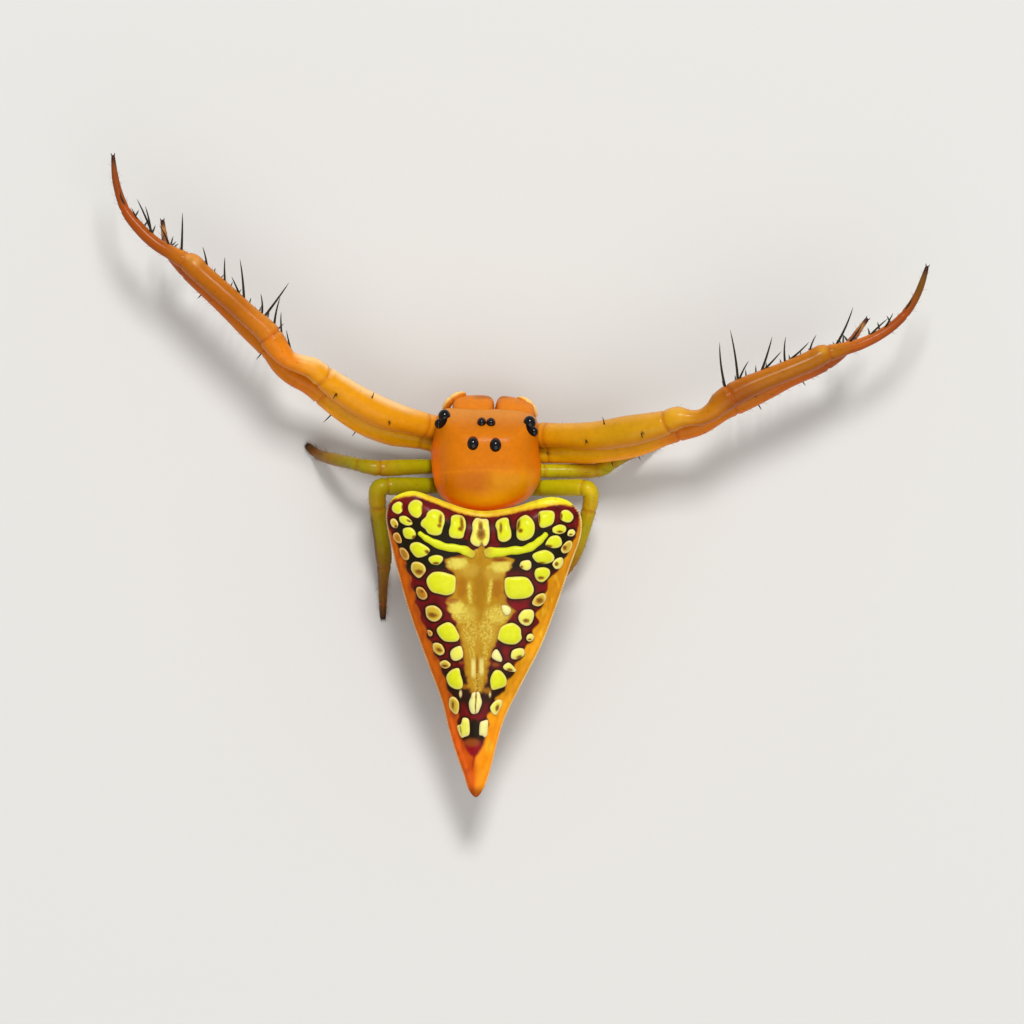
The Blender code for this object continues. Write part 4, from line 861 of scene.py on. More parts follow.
studs = {
    # kind, outline in pixels, dents as pixel x, pixel y, half width, half length, turn
    "rows": [
        ("yellow", [(393.9, 504.0), (399.0, 501.5), (402.9, 504.0), (402.6, 511.0), (398.4, 514.2),
            (393.3, 511.7), (392.0, 507.9)], [(402.7, 507.2, 1.0, 3.3, 0)]),
        ("yellow", [(409.9, 502.8), (415.6, 499.6), (422.0, 502.1), (423.3, 507.9), (421.4, 514.9),
            (417.5, 518.1), (411.1, 514.9), (408.2, 508.5)], [(423.3, 508.5, 1.8, 6.1, 0)]),
        ("yellow", [(432.8, 509.1), (439.8, 510.4), (444.3, 514.9), (444.9, 521.9), (443.0, 528.3),
            (441.1, 534.0), (435.4, 535.5), (428.4, 533.4), (425.2, 528.9), (421.1, 525.7),
            (421.4, 521.2), (425.8, 516.8), (427.7, 512.3)], [(440.7, 519.6, 1.7, 6.1, 4),
            (439.6, 525.7, 2.3, 2.0, 0)]),
        ("yellow", [(451.3, 516.8), (456.4, 514.6), (462.8, 516.1), (465.6, 520.6), (466.1, 527.0),
            (464.7, 532.1), (462.8, 537.8), (456.4, 538.5), (450.1, 536.6), (449.0, 530.8),
            (450.7, 524.4)], [(462.0, 523.4, 1.9, 7.4, -6), (460.8, 528.9, 3.1, 2.6, 0)]),
        ("pale", [(476.2, 517.8), (481.3, 518.7), (487.7, 519.3), (489.0, 524.4), (489.8, 533.4),
            (489.0, 541.0), (485.8, 546.1), (481.9, 545.6), (476.8, 546.5), (471.7, 543.6),
            (470.2, 539.1), (472.4, 530.8), (472.4, 523.2)], [(480.7, 527.2, 2.6, 6.4, 0),
            (481.2, 534.0, 4.7, 6.9, 0), (481.6, 546.1, 1.3, 5.9, 0)]),
        ("yellow", [(497.2, 520.6), (503.0, 517.8), (508.1, 518.3), (509.4, 524.4), (511.3, 532.1),
            (510.6, 538.5), (504.3, 542.0), (498.5, 539.7), (497.0, 530.8), (495.3, 525.7)],
            [(500.7, 528.0, 1.7, 5.9, 0)]),
        ("yellow", [(523.4, 515.5), (527.9, 515.5), (533.0, 520.6), (534.9, 527.0), (533.6, 534.6),
            (529.1, 539.1), (522.1, 540.8), (517.0, 537.8), (516.4, 530.8), (517.4, 520.6)],
            [(518.4, 525.1, 1.8, 6.1, 10), (520.5, 530.6, 2.6, 2.3, 0)]),
        ("yellow", [(539.3, 511.7), (549.5, 510.4), (554.0, 512.3), (554.6, 518.1), (552.1, 524.4),
            (543.2, 528.0), (539.3, 525.7), (538.1, 519.3)], [(539.1, 518.7, 1.1, 5.9, 0)]),
        ("yellow", [(561.7, 511.0), (567.4, 510.0), (572.5, 514.2), (573.1, 518.7), (569.3, 522.5),
            (562.9, 521.2), (559.7, 517.4)], [(561.0, 516.1, 1.8, 3.6, 0)]),
        ("yellow", [(399.7, 516.8), (405.4, 515.9), (411.1, 520.0), (412.4, 524.4), (406.7, 525.5),
            (400.3, 521.9)], [(409.2, 521.1, 3.1, 1.4, 30)]),
        ("golden", [(391.4, 519.1), (395.2, 518.7), (398.4, 523.4), (397.1, 528.0), (392.7, 527.0),
            (390.4, 522.5)], [(396.0, 526.4, 1.8, 1.8, 0)]),
        ("yellow", [(404.1, 528.3), (410.5, 527.4), (415.0, 530.8), (416.0, 535.9), (412.4, 539.1),
            (405.4, 537.8), (402.9, 532.1)], [(414.1, 536.9, 2.6, 1.5, -30)]),
        ("brown", [(393.9, 533.4), (398.4, 532.7), (401.6, 538.5), (401.6, 542.9), (397.1, 542.6),
            (393.3, 537.8)], []),
        ("yellow", [(412.4, 542.9), (418.2, 542.0), (424.5, 544.8), (429.6, 548.7), (429.6, 552.5),
            (424.5, 556.3), (416.9, 557.3), (411.1, 551.2), (409.9, 546.1)],
            [(427.6, 552.1, 3.3, 2.0, 30)]),
        ("brown", [(399.7, 548.0), (404.8, 548.4), (409.2, 554.4), (408.6, 559.5), (404.1, 559.5),
            (400.3, 553.8)], []),
        ("yellow", [(429.6, 557.0), (436.0, 554.8), (442.4, 556.3), (443.0, 560.2), (438.6, 564.6),
            (432.2, 564.0), (428.6, 560.2)], [(436.0, 563.2, 3.6, 1.4, 0)]),
        ("golden", [(412.4, 562.7), (418.2, 561.7), (423.9, 564.6), (426.1, 569.7), (423.9, 574.2),
            (419.4, 578.0), (415.0, 575.5), (411.1, 569.1)], [(419.4, 571.9, 4.6, 2.8, 10)]),
        ("yellow", [(432.8, 572.3), (441.1, 571.6), (448.8, 573.5), (455.4, 576.7), (455.8, 584.4),
            (454.5, 592.0), (447.5, 595.2), (439.8, 594.0), (431.6, 591.4), (427.1, 584.4),
            (427.1, 578.0)], []),
        ("brown", [(417.5, 586.9), (422.6, 587.6), (427.1, 593.3), (427.1, 597.8), (423.3, 599.7),
            (418.4, 597.1), (416.0, 590.8)], [(421.7, 591.4, 2.3, 2.0, 30)]),
        ("golden", [(426.5, 606.7), (433.5, 605.2), (439.8, 608.6), (442.4, 614.4), (438.6, 620.1),
            (432.8, 621.4), (427.1, 617.6), (425.6, 611.2)], [(432.4, 615.0, 5.1, 2.8, 10)]),
        ("brown", [(427.1, 630.6), (429.9, 629.8), (432.7, 632.6), (431.9, 635.9), (428.9, 635.7)], []),
        ("yellow", [(553.4, 527.0), (559.7, 524.4), (565.5, 526.4), (565.5, 531.5), (559.7, 534.0),
            (553.4, 532.7), (552.1, 529.5)], [(560.0, 531.8, 3.1, 1.4, 0)]),
        ("pale", [(568.7, 530.2), (573.1, 529.3), (575.3, 532.7), (572.5, 536.2), (567.4, 535.3)],
            [(570.6, 534.6, 2.0, 1.0, 0)]),
        ("yellow", [(549.5, 537.2), (556.6, 535.3), (561.0, 538.5), (561.7, 544.8), (556.6, 548.0),
            (549.5, 547.4), (545.1, 544.8)], [(548.5, 546.1, 4.1, 1.5, 8)]),
        ("golden", [(566.1, 541.7), (571.2, 540.8), (572.2, 546.1), (568.7, 551.9), (562.9, 553.1),
            (560.8, 548.7)], [(564.6, 547.7, 2.3, 2.8, 20)]),
        ("yellow", [(534.2, 553.1), (543.2, 549.9), (549.5, 551.2), (554.0, 555.7), (553.4, 560.8),
            (546.4, 563.7), (538.1, 563.0), (532.3, 557.0)], [(541.2, 563.0, 4.6, 1.0, 0)]),
        ("pale", [(555.9, 558.9), (561.7, 557.3), (563.3, 562.1), (560.4, 567.8), (555.3, 568.8),
            (552.3, 564.0)], [(556.4, 564.0, 2.2, 2.4, 0)]),
        ("pale", [(521.5, 561.4), (527.9, 559.9), (531.0, 562.1), (531.0, 567.8), (526.6, 570.4),
            (520.8, 567.8), (519.6, 565.3)], [(521.5, 566.8, 1.5, 1.5, 0)]),
        ("yellow", [(538.1, 567.8), (544.4, 567.2), (549.5, 569.7), (549.5, 575.5), (543.2, 581.8),
            (537.4, 580.6), (534.5, 575.5), (534.9, 570.4)], [(540.9, 578.0, 3.6, 1.9, 0)]),
        ("yellow", [(505.5, 578.0), (512.6, 576.7), (522.8, 576.5), (528.5, 578.6), (533.0, 585.7),
            (533.6, 592.0), (529.1, 597.1), (520.2, 598.8), (510.0, 598.4), (505.5, 593.3),
            (504.3, 584.4)], []),
        ("golden", [(537.4, 594.6), (543.8, 593.1), (546.4, 597.1), (543.2, 603.5), (538.1, 606.3),
            (532.3, 604.2), (533.0, 599.7)], [(539.8, 600.5, 3.8, 3.1, 0)]),
        ("cream", [(501.7, 605.4), (507.4, 605.4), (511.3, 609.3), (509.4, 614.4), (505.5, 615.0),
            (502.3, 611.2)], []),
        ("pale", [(523.4, 609.9), (531.7, 609.6), (534.2, 614.4), (531.7, 622.7), (526.6, 625.8),
            (520.2, 622.7), (518.3, 616.3)], [(526.1, 620.6, 3.6, 2.3, 0)]),
        ("yellow", [(438.6, 626.5), (447.5, 622.0), (453.9, 625.2), (458.3, 632.9), (459.7, 636.7),
            (456.9, 641.2), (446.3, 641.5), (440.7, 637.8), (436.8, 631.1)], []),
        ("yellow", [(499.8, 629.0), (503.6, 625.2), (512.6, 622.7), (520.2, 627.8), (521.2, 634.1),
            (521.6, 638.9), (515.5, 644.0), (505.4, 643.6), (498.2, 639.5), (497.6, 636.7)], []),
        ("golden", [(432.9, 644.0), (436.8, 642.5), (441.8, 644.5), (444.6, 650.1), (443.5, 654.0),
            (439.0, 655.1), (433.5, 650.6)], [(439.2, 649.9, 3.6, 2.0, 25)]),
        ("pale", [(450.2, 652.9), (453.0, 648.4), (459.7, 645.6), (462.3, 648.4), (463.0, 656.8),
            (456.9, 660.7), (451.9, 659.2)], []),
        ("cream", [(493.7, 650.6), (497.6, 649.5), (502.1, 657.9), (500.8, 661.8), (494.3, 659.6),
            (491.5, 656.2)], []),
        ("pale", [(527.8, 634.5), (531.7, 633.6), (534.2, 636.7), (532.2, 640.6), (528.3, 641.2),
            (526.1, 638.4)], [(529.8, 639.4, 2.0, 1.0, 0)]),
        ("pale", [(512.7, 650.1), (518.8, 647.9), (523.9, 649.0), (524.6, 654.0), (522.2, 656.8),
            (516.6, 659.2), (511.6, 658.5), (510.8, 654.6)], [(519.1, 657.0, 3.3, 1.7, -18)]),
        ("pale", [(503.2, 665.7), (508.8, 662.4), (514.9, 667.9), (516.0, 671.3), (511.0, 671.5),
            (504.3, 669.3)], [(509.9, 669.7, 3.6, 1.5, 8)]),
        ("golden", [(439.8, 662.4), (445.2, 659.9), (450.5, 663.5), (449.6, 666.8), (445.2, 668.5),
            (440.7, 666.3)], [(444.6, 665.9, 3.6, 1.6, 5)]),
        ("yellow", [(446.3, 676.9), (450.8, 670.2), (458.6, 667.9), (460.8, 674.6), (463.0, 682.5),
            (461.9, 688.0), (456.3, 689.2), (449.1, 685.2)], []),
        ("yellow", [(490.4, 678.0), (494.3, 670.7), (499.9, 670.2), (504.9, 675.2), (506.8, 680.8),
            (505.4, 685.8), (498.8, 688.6), (492.3, 689.7), (490.4, 684.7)], []),
        ("cream", [(472.5, 692.5), (478.7, 691.6), (480.9, 697.0), (482.0, 702.5), (480.3, 708.1),
            (477.5, 713.1), (472.0, 713.7), (469.5, 709.2), (468.8, 702.5), (470.8, 697.0)],
            [(476.0, 695.8, 1.0, 6.9, 0), (475.5, 707.0, 0.7, 7.8, 0)]),
        ("golden", [(449.6, 698.1), (454.1, 696.7), (458.6, 701.4), (459.1, 709.2), (456.9, 714.3),
            (453.0, 712.6), (449.1, 707.0)], [(452.8, 704.8, 1.5, 4.0, 0)]),
        ("pale", [(497.6, 699.4), (502.1, 700.3), (502.1, 704.8), (499.3, 710.4), (496.5, 714.8),
            (492.6, 713.7), (490.0, 708.1), (492.6, 703.1)], [(497.2, 707.7, 1.8, 3.8, 14)]),
        ("pale", [(462.5, 718.2), (465.8, 717.6), (469.2, 720.4), (469.5, 733.8), (464.7, 736.9),
            (461.4, 737.7), (458.6, 732.7), (457.0, 726.0), (460.8, 723.8)],
            [(460.5, 729.3, 0.6, 5.4, -10)]),
        ("cream", [(479.8, 723.2), (483.1, 720.6), (488.1, 720.4), (487.8, 730.4), (487.0, 735.5),
            (484.8, 737.4), (482.0, 735.5), (479.2, 734.4)], []),
    ],
    "bands": [  # pixel x, pixel y, width
        [
            (418.6, 532.0, 4.0), (422.5, 535.4, 5.2), (427.6, 539.0, 6.2), (436.0, 543.4, 7.8),
            (446.0, 547.0, 8.0), (456.4, 548.2, 7.8), (464.6, 550.2, 8.8), (470.6, 553.4, 8.4),
            (475.0, 555.6, 5.5),
        ],
        [
            (547.0, 532.8, 4.4), (543.6, 536.8, 6.0), (538.4, 541.6, 7.2), (531.7, 546.4, 8.2),
            (522.8, 549.8, 7.6), (512.6, 550.4, 8.4), (502.3, 552.0, 8.4), (494.0, 552.2, 10.4),
            (487.4, 552.8, 9.8), (483.8, 553.4, 6.0),
        ],
    ],
    "rise": 0.085, "edge": 0.02, "sunk": 0.10, "steps": 44, "dentDepth": 0.030,
    "shares": (1.0, 1.0, 0.985, 0.955, 0.91, 0.85, 0.77, 0.68, 0.58, 0.47, 0.35, 0.22, 0.10),
    "bandGap": 480.0,  # pixel x between the two bands, where they grow low and brown
    "kinds": {  # colour of the top, colour of the edge
        "yellow": (rgb(217, 220, 26), rgb(238, 226, 112)),
        "pale": (rgb(230, 226, 86), rgb(246, 226, 146)),
        "cream": (rgb(234, 230, 140), rgb(244, 226, 166)),
        "golden": (rgb(202, 172, 44), rgb(240, 212, 124)),
        "brown": (rgb(174, 118, 16), rgb(226, 176, 96)),
    },
    "dent": rgb(150, 92, 14), "dentCore": rgb(84, 58, 8), "bandInner": rgb(196, 162, 56),
}
abdomenLine = np.array(evenOutline(abdomen["outline"], 300))


def toEdge(px, py):
    return float(np.sqrt(((abdomenLine - (px, py)) ** 2).sum(1)).min())


studEdges = np.array([p for row in studs["rows"] for p in evenOutline(row[1], 24)])
bandMiddle = np.array([p[:2] for row in studs["bands"] for p in smoothLine(row, 10)])


def besideStud(px, py):  # distance in pixels to the nearest stud's edge or band
    d = float(np.sqrt(((studEdges - (px, py)) ** 2).sum(1)).min())
    return min(d, float(np.sqrt(((bandMiddle - (px, py)) ** 2).sum(1)).min()) - 3.6)


def bellyTint(px, py, edge, side):
    c = abdomen["colours"]
    out = between(c["under"], c["brown"], 0.5 + 0.5 * grain(px, py, 9.0))
    out = between(out, c["underPale"], 0.6 * ramp(0.25, 0.5, grain(px, py * 0.8, 13.0, 4.0)))
    return between(side, out, ramp(4.0, 13.0, edge) * (1.0 - ramp(*abdomen["areas"]["bellyEnd"], py)))


def goldTint(px, py):
    c = abdomen["colours"]
    out = c["gold"] * (1.0 + 0.08 * grain(px, py, 4.0, 5.0))
    for place, half, much, colour in abdomen["patches"]:
        d = oval(px, py, place, half) + 0.30 * grain(px, py, 3.6, 2.0)
        out = between(out, c[colour], min(1.0, much * (1.0 - ramp(0.35, 1.10, d))))
    for qx, first, lean in abdomen["beads"]:
        much = min(1.0, max(0.15, 0.6 + 0.9 * grain(px, py, 1.8, 3.0)))
        off = px - qx - lean * (py - abdomen["beadsLeanY"]) + grain(px, py, 3.0, 1.0)
        much *= (1.0 - ramp(0.3, 3.0, abs(off))) * ramp(first - 4.0, first + 4.0, py)
        out = between(out, c["pale"], much * (1.0 - ramp(*abdomen["beadsEnd"], py)))
    for (qx, qy), tall in abdomen["bars"]:
        near = (1.0 - ramp(0.8, 3.2, abs(px - qx))) * (1.0 - ramp(tall - 3.0, tall + 3.5, abs(py - qy)))
        out = between(out, c["cream"], 0.85 * near)
    line = (1.0 - ramp(0.4, 1.4, abs(px - abdomen["barLine"]))) * ramp(*abdomen["barLineY"], py)
    return between(out, c["arc"], 0.8 * line)


def flecksAt(px, py):
    shares = [(much, oval(px, py, place, half)) for place, half, much in abdomen["flecked"]]
    return max(much * (1.0 - ramp(0.6, 1.1, share)) for much, share in shares)


def rimTintAt(px, py, right):  # the orange side of the abdomen
    c = abdomen["colours"]
    areas = abdomen["areas"]
    out = between(c["leftRim"], between(c["rightRim"], c["rightLow"], ramp(*areas["rightLow"], py)), right)
    dull = 0.75 * right * ramp(*areas["dullFrom"], py) * (1.0 - ramp(*areas["dullTo"], py))
    out = between(out, c["rightRim"], dull)
    out = between(out, between(c["tail"], c["tailRight"], right), ramp(*areas["tail"], py))
    out = between(out, c["tip"], 0.9 * ramp(*areas["tip"], py))
    off = abs(px - abdomen["centre"][0])
    front = 0.9 * (1.0 - ramp(*areas["frontOff"], off)) * (1.0 - ramp(*areas["front"], py))
    out = between(out, c["front"], front)
    return out * (1.0 + 0.14 * grain(px, py * 0.6, 5.0, 3.0)), dull


def streaked(px, py, side, right, dull):  # the same with its streaks and gleams
    c = abdomen["colours"]
    side = between(side, c["maroon"], 0.35 * (1.0 - right) * ramp(0.0, 0.5, grain(px, py * 0.35, 4.0, 9.0)))
    gleam = 0.55 * right * ramp(0.1, 0.5, grain(px, py * 0.35, 4.0, 1.0))
    gleam *= 1.0 - ramp(*abdomen["areas"]["gleamEnd"], py)
    side = between(side, c["rimLine"], gleam * (1.0 - 0.8 * dull))
    return between(side, c["rimLine"], 0.55 * (1.0 - ramp(0.3, 1.2, oval(px, py, *abdomen["tailGleam"]))))


# the dark line round the studs is partly their black outline and partly painted shadow at their foot
def blackAt(px, py, edge):  # black network over the shoulders, and a dark line round the studs
    areas = abdomen["areas"]
    off = abs(px - abdomen["centre"][0])
    start = between(*areas["shoulderFrom"], ramp(*areas["shoulderX"], px)) + 2.0 * grain(px, py, 9.0, 6.0)
    shoulder = ramp(start, start + 5.0, py) * (1.0 - ramp(*areas["shoulderEnd"], py))
    shoulder *= ramp(5.0, 9.0, edge) * ramp(14.0, 28.0, off)
    band = ramp(*areas["bandFrom"], py) * (1.0 - ramp(*areas["bandTo"], py)) * ramp(12.0, 18.0, off)
    # dark ring round studs and bands: partly black outline, partly painted shadow
    halo = 0.9 * (1.0 - ramp(0.8, 3.6, besideStud(px, py))) * ramp(*areas["halo"], py)
    last = ramp(*areas["lastBlackFrom"], py) * (1.0 - ramp(*areas["lastBlackTo"], py))
    last *= 0.9 * ramp(6.0, 9.0, edge)
    bars = [1.0 - ramp(*shares, oval(px, py, place, half)) for place, half, shares in abdomen["blackBars"]]
    return min(1.0, max(shoulder, band, halo, last, *bars))


def rimWidth(px, py, right):  # how wide the orange rim is, and how soft its inner edge
    leftRim, rightRim = readRows(abdomen["rim"], py)
    onLeft = px < readRows(abdomen["middle"], py)[0]
    wide = leftRim if onLeft else rightRim
    waves = between(1.1, 2.0, right) * math.sin(0.37 * py + (1.5 if onLeft else 0.6)) * ramp(4.0, 9.0, wide)
    waves *= 1.0 - 0.8 * ramp(*abdomen["areas"]["calmTail"], py)
    waves += 1.2 * grain(px, py, 5.0, 8.0)
    return wide, waves, between(1.0, 2.2, ramp(*abdomen["areas"]["softTail"], py))


def frontRimTint(px, py, edge, thick, out):  # the yellow rim along the front
    c = abdomen["colours"]
    corner = max(ramp(*abdomen["cornerRight"], px), 1.0 - ramp(*abdomen["cornerLeft"], px))
    bright = between(c["frontRim"], c["frontCorner"], corner)
    bright = between(bright, c["frontLow"], 0.8 * ramp(0.5 * thick, thick, edge))
    bright = between(bright, c["frontLow"], 0.5 * ramp(0.0, 0.6, grain(px, py, 6.0, 4.0)))
    return between(out, bright, 1.0 - ramp(thick - 0.9, thick + 0.9, edge + 0.9 * grain(px, py, 4.0)))


def abdomenTint(v):
    # the fourth value is how densely pale flecks lie there
    px, py = pixelOf(v.co)
    c = abdomen["colours"]
    areas = abdomen["areas"]
    edge = toEdge(px, py)
    right = ramp(-2.5, 2.5, px - readRows(abdomen["middle"], py)[0])
    side, dull = rimTintAt(px, py, right)
    if v.normal.z < -0.05:
        return (*bellyTint(px, py, edge, side), 0.0)
    out = between(c["maroon"], c["maroonDark"], 0.5 + 0.7 * grain(px, py, 8.0, 2.0))
    out = between(out, c["black"], blackAt(px, py, edge))
    goldLeft, goldRight = readRows(abdomen["gold"], py)
    inside = min(px - goldLeft, goldRight - px) + 2.0 * grain(px, py, 4.5, 7.0)
    gold = ramp(-2.4, 2.6, inside) * ramp(*areas["goldFrom"], py) * (1.0 - ramp(*areas["goldTo"], py))
    if gold > 0.0:
        out = between(out, c["brown"], ramp(-3.5, -0.5, inside) * min(1.0, 2.0 * gold))
        out = between(out, goldTint(px, py), gold)
    for place, half, colour, much in abdomen["spots"]:
        out = between(out, c[colour], much * (1.0 - ramp(0.5, 1.1, oval(px, py, place, half))))
    wide, waves, soft = rimWidth(px, py, right)
    rim = 1.0 - ramp(wide + waves - soft, wide + waves + soft, edge)
    rim *= ramp(*areas["rimFrom"], py) if edge < 20.0 else 1.0
    out = between(out, streaked(px, py, side, right, dull), rim if wide > 0.0 else 0.0)
    if py > abdomen["creaseY"] - 3.0:
        crease = abs(px - abdomen["creaseX"] + abdomen["creaseLean"] * (py - abdomen["creaseY"]))
        much = 0.7 * (1.0 - ramp(0.3, 1.7, crease)) * (1.0 - ramp(*areas["creaseEnd"], py))
        out = between(out, c["wine"], much)
    thick = readRows(abdomen["frontRim"], px)[0]
    rimLeft, rimRight = abdomen["frontRimEnds"]
    inFront = py < abdomen["frontEnd"]
    onRim = py < abdomen["frontRimCorner"] or rimLeft < px < rimRight
    if inFront and onRim and thick > 0.0 and px < abdomen["frontRimLast"]:
        out = frontRimTint(px, py, edge, thick, out)
    # thin pale lip at the very edge of the sides
    lip = (1.0 - ramp(0.7, 1.7, edge)) * ramp(*areas["lipFrom"], py) * (1.0 - ramp(*areas["lipTo"], py))
    lip *= ramp(*areas["lipOff"], abs(px - abdomen["centre"][0])) if inFront else 1.0
    lip *= 1.0 - 0.35 * right * ramp(*areas["lipThin"], py)
    return (*between(out, c["lip"], between(0.55, 0.9, right) * lip), gold * flecksAt(px, py))


print("abdomen")
backShell = cuticle("backShell", dict(
    shellLook, roughness=0.36, coat=0.04, coatRoughness=0.12, specular=0.08,
    flecks=21000.0, fleckColour=rgb(226, 204, 84),
))
top = [1.0, 0.996, 0.99, 0.982, 0.973, 0.963] + [0.952 - 0.0099 * i for i in range(96)]
below = [0.03 + 0.06 * i for i in range(14)] + [0.87, 0.92, 0.96, 0.985, 0.995]
bm = shell(abdomenEdge, abdomen["centre"], top, below, abdomenTop, abdomenUnder)
addPiece("abdomenSkin", bm, backShell, ["abdomen"], abdomenTint)

print("studs")


def dentShare(row, x, y):  # 0 in the middle of the nearest dent, 1 at its edge
    far = 9.0
    shares = [
        oval(*turnBy(x - dx, y - dy, turn), (0.0, 0.0), (wide, tall)) for dx, dy, wide, tall, turn in row[2]
    ]
    return min([far, *shares])


def makeStud(row):
    kind, outline = row[:2]
    line = evenOutline(outline, studs["steps"])
    centre = tuple(np.array(line).mean(0))
    reach = float(np.sqrt(((np.array(line) - centre) ** 2).sum(1)).mean())
    rise = studs["rise"] * min(1.0, 0.35 + 0.07 * reach)
    rings = []
    for i, share in enumerate(studs["shares"]):
        ring = []
        for px, py in line:
            x, y = between(centre[0], px, share), between(centre[1], py, share)
            z = abdomenHeight(x, y)
            if i == 0:
                z -= studs["sunk"]
            else:
                z += studs["edge"] + rise * dome(share, 3.0, 0.6)
                z -= studs["dentDepth"] * bell(dentShare(row, x, y))
            ring.append(at(x, y, z))
        rings.append(ring)
    bm = loft(rings)
    layer = bm.verts.layers.float_color.new("tint")
    body, edge = studs["kinds"][kind]
    for v in bm.verts:
        x, y = pixelOf(v.co)
        share = shareOf(line, centre, x, y)
        out = between(body, edge, 0.9 * ramp(1.0 - 2.6 / reach, 1.0 - 0.8 / reach, share))
        out = out * (1.0 + 0.05 * grain(x, y, 4.0))
        d = dentShare(row, x, y) + 0.22 * grain(x, y, 2.0, 5.0)
        out = between(out, studs["dent"], 0.95 * (1.0 - ramp(0.60, 1.30, d)))
        out = between(out, studs["dentCore"], 0.6 * (1.0 - ramp(0.2, 0.7, d)))
        # painted shadow line at the stud's outermost edge
        out = out * (1.0 - 0.55 * ramp(1.0 - 0.5 / reach, 1.0 + 0.2 / reach, share))
        v[layer] = (*out, 1.0)
    return bm


def makeBand(points):
    # A raised bar with rounded ends, lofted across its own width
    dense = smoothLine(points, 8)
    n = len(dense)
    rings = []
    for i, (px, py, wide) in enumerate(dense):
        a, b = dense[max(0, i - 1)], dense[min(n - 1, i + 1)]
        length = math.hypot(b[0] - a[0], b[1] - a[1])
        nx, ny = -(b[1] - a[1]) / length, (b[0] - a[0]) / length
        end = min(i, n - 1 - i)
        wide = wide * min(1.0, 0.35 + 0.3 * end) * (1.0 + 0.07 * math.sin(0.55 * i))
        ring = []
        for across, high in ovalRing((0.0, 0.0), (0.5 * wide, 1.0), 16):
            x, y = px + nx * across, py + ny * across
            tall = 0.8 * studs["rise"] * min(1.0, 0.4 + 0.3 * end)
            tall *= between(0.3, 1.0, ramp(3.0, 18.0, abs(x - studs["bandGap"])))
            lift = studs["edge"] + (tall if high > 0 else studs["sunk"]) * high
            ring.append(at(x, y, abdomenHeight(x, y) + lift))
        rings.append(ring)
    bm = loft(rings)
    layer = bm.verts.layers.float_color.new("tint")
    body, edge = studs["kinds"]["yellow"]
    for v in bm.verts:
        x, y = pixelOf(v.co)
        lift = millimetres(v.co.z) - abdomenHeight(x, y)
        out = between(edge, body, ramp(studs["edge"], studs["edge"] + 0.22 * studs["rise"], lift))
        off = abs(x - studs["bandGap"]) + 2.0 * grain(x, y, 3.0)
        out = between(out, studs["bandInner"], 1.0 - ramp(3.0, 16.0, off))
        v[layer] = (*(out * (1.0 + 0.06 * grain(x, y, 5.0))), 1.0)
    return bm


enamel = cuticle("studEnamel", {
    "roughness": 0.34, "coat": 0.10, "coatRoughness": 0.12, "specular": 0.12,
    "grain": 7000.0, "mottle": 0.03, "bump": 0.1,
})
parts = [makeStud(row) for row in studs["rows"]] + [makeBand(row) for row in studs["bands"]]
addPiece("studs", gather(parts), enamel)

spinnerets = {
    "mound": (478.0, 672.0), "moundHalf": 12.5, "moundRise": 0.16, "sunk": 0.02, "low": 0.04,
    # pixels from the middle of the mound and half width of each tip
    "tips": [(-4.5, -3.5, 2.6), (4.5, -3.5, 2.6), (-3.6, 3.6, 2.2), (3.6, 3.6, 2.2)],
    # mm below a tip's root, share of its width, share of its distance
    "taper": [(0.0, 1.0, 1.0), (0.08, 0.98, 1.0), (0.16, 0.85, 0.95), (0.21, 0.6, 0.9), (0.235, 0.25, 0.88)],
    "root": 0.12,
    "colour": rgb(176, 92, 20),
}


def bellyHeight(px, py):
    return abdomenUnder(px, py, shareOf(coarseEdge, abdomen["centre"], px, py))


def spinneretTint(v):
    return spinnerets["colour"]


print("spinnerets")
moundHalf = (spinnerets["moundHalf"], spinnerets["moundHalf"])
cones = [shell(
    ovalRing(spinnerets["mound"], moundHalf, 48), spinnerets["mound"],
    (1.0, 0.7, 0.3), (0.98, 0.93, 0.85, 0.7, 0.5, 0.25, 0.08),
    lambda px, py, share: bellyHeight(px, py) + spinnerets["sunk"],
    lambda px, py, share: bellyHeight(px, py) - spinnerets["low"] - spinnerets["moundRise"] * dome(share),
)]
mx, my = spinnerets["mound"]
for dx, dy, wide in spinnerets["tips"]:
    root = bellyHeight(mx + dx, my + dy) - spinnerets["root"]
    rings = []
    for drop, w, lean in spinnerets["taper"]:
        ring = ovalRing((mx + dx * lean, my + dy * lean), (wide * w, wide * w), 20)
        rings.append([at(x, y, root - drop) for x, y in ring])
    cones.append(loft(rings))
addPiece("spinneretCones", gather(cones), amber, ["spinnerets"], spinneretTint)
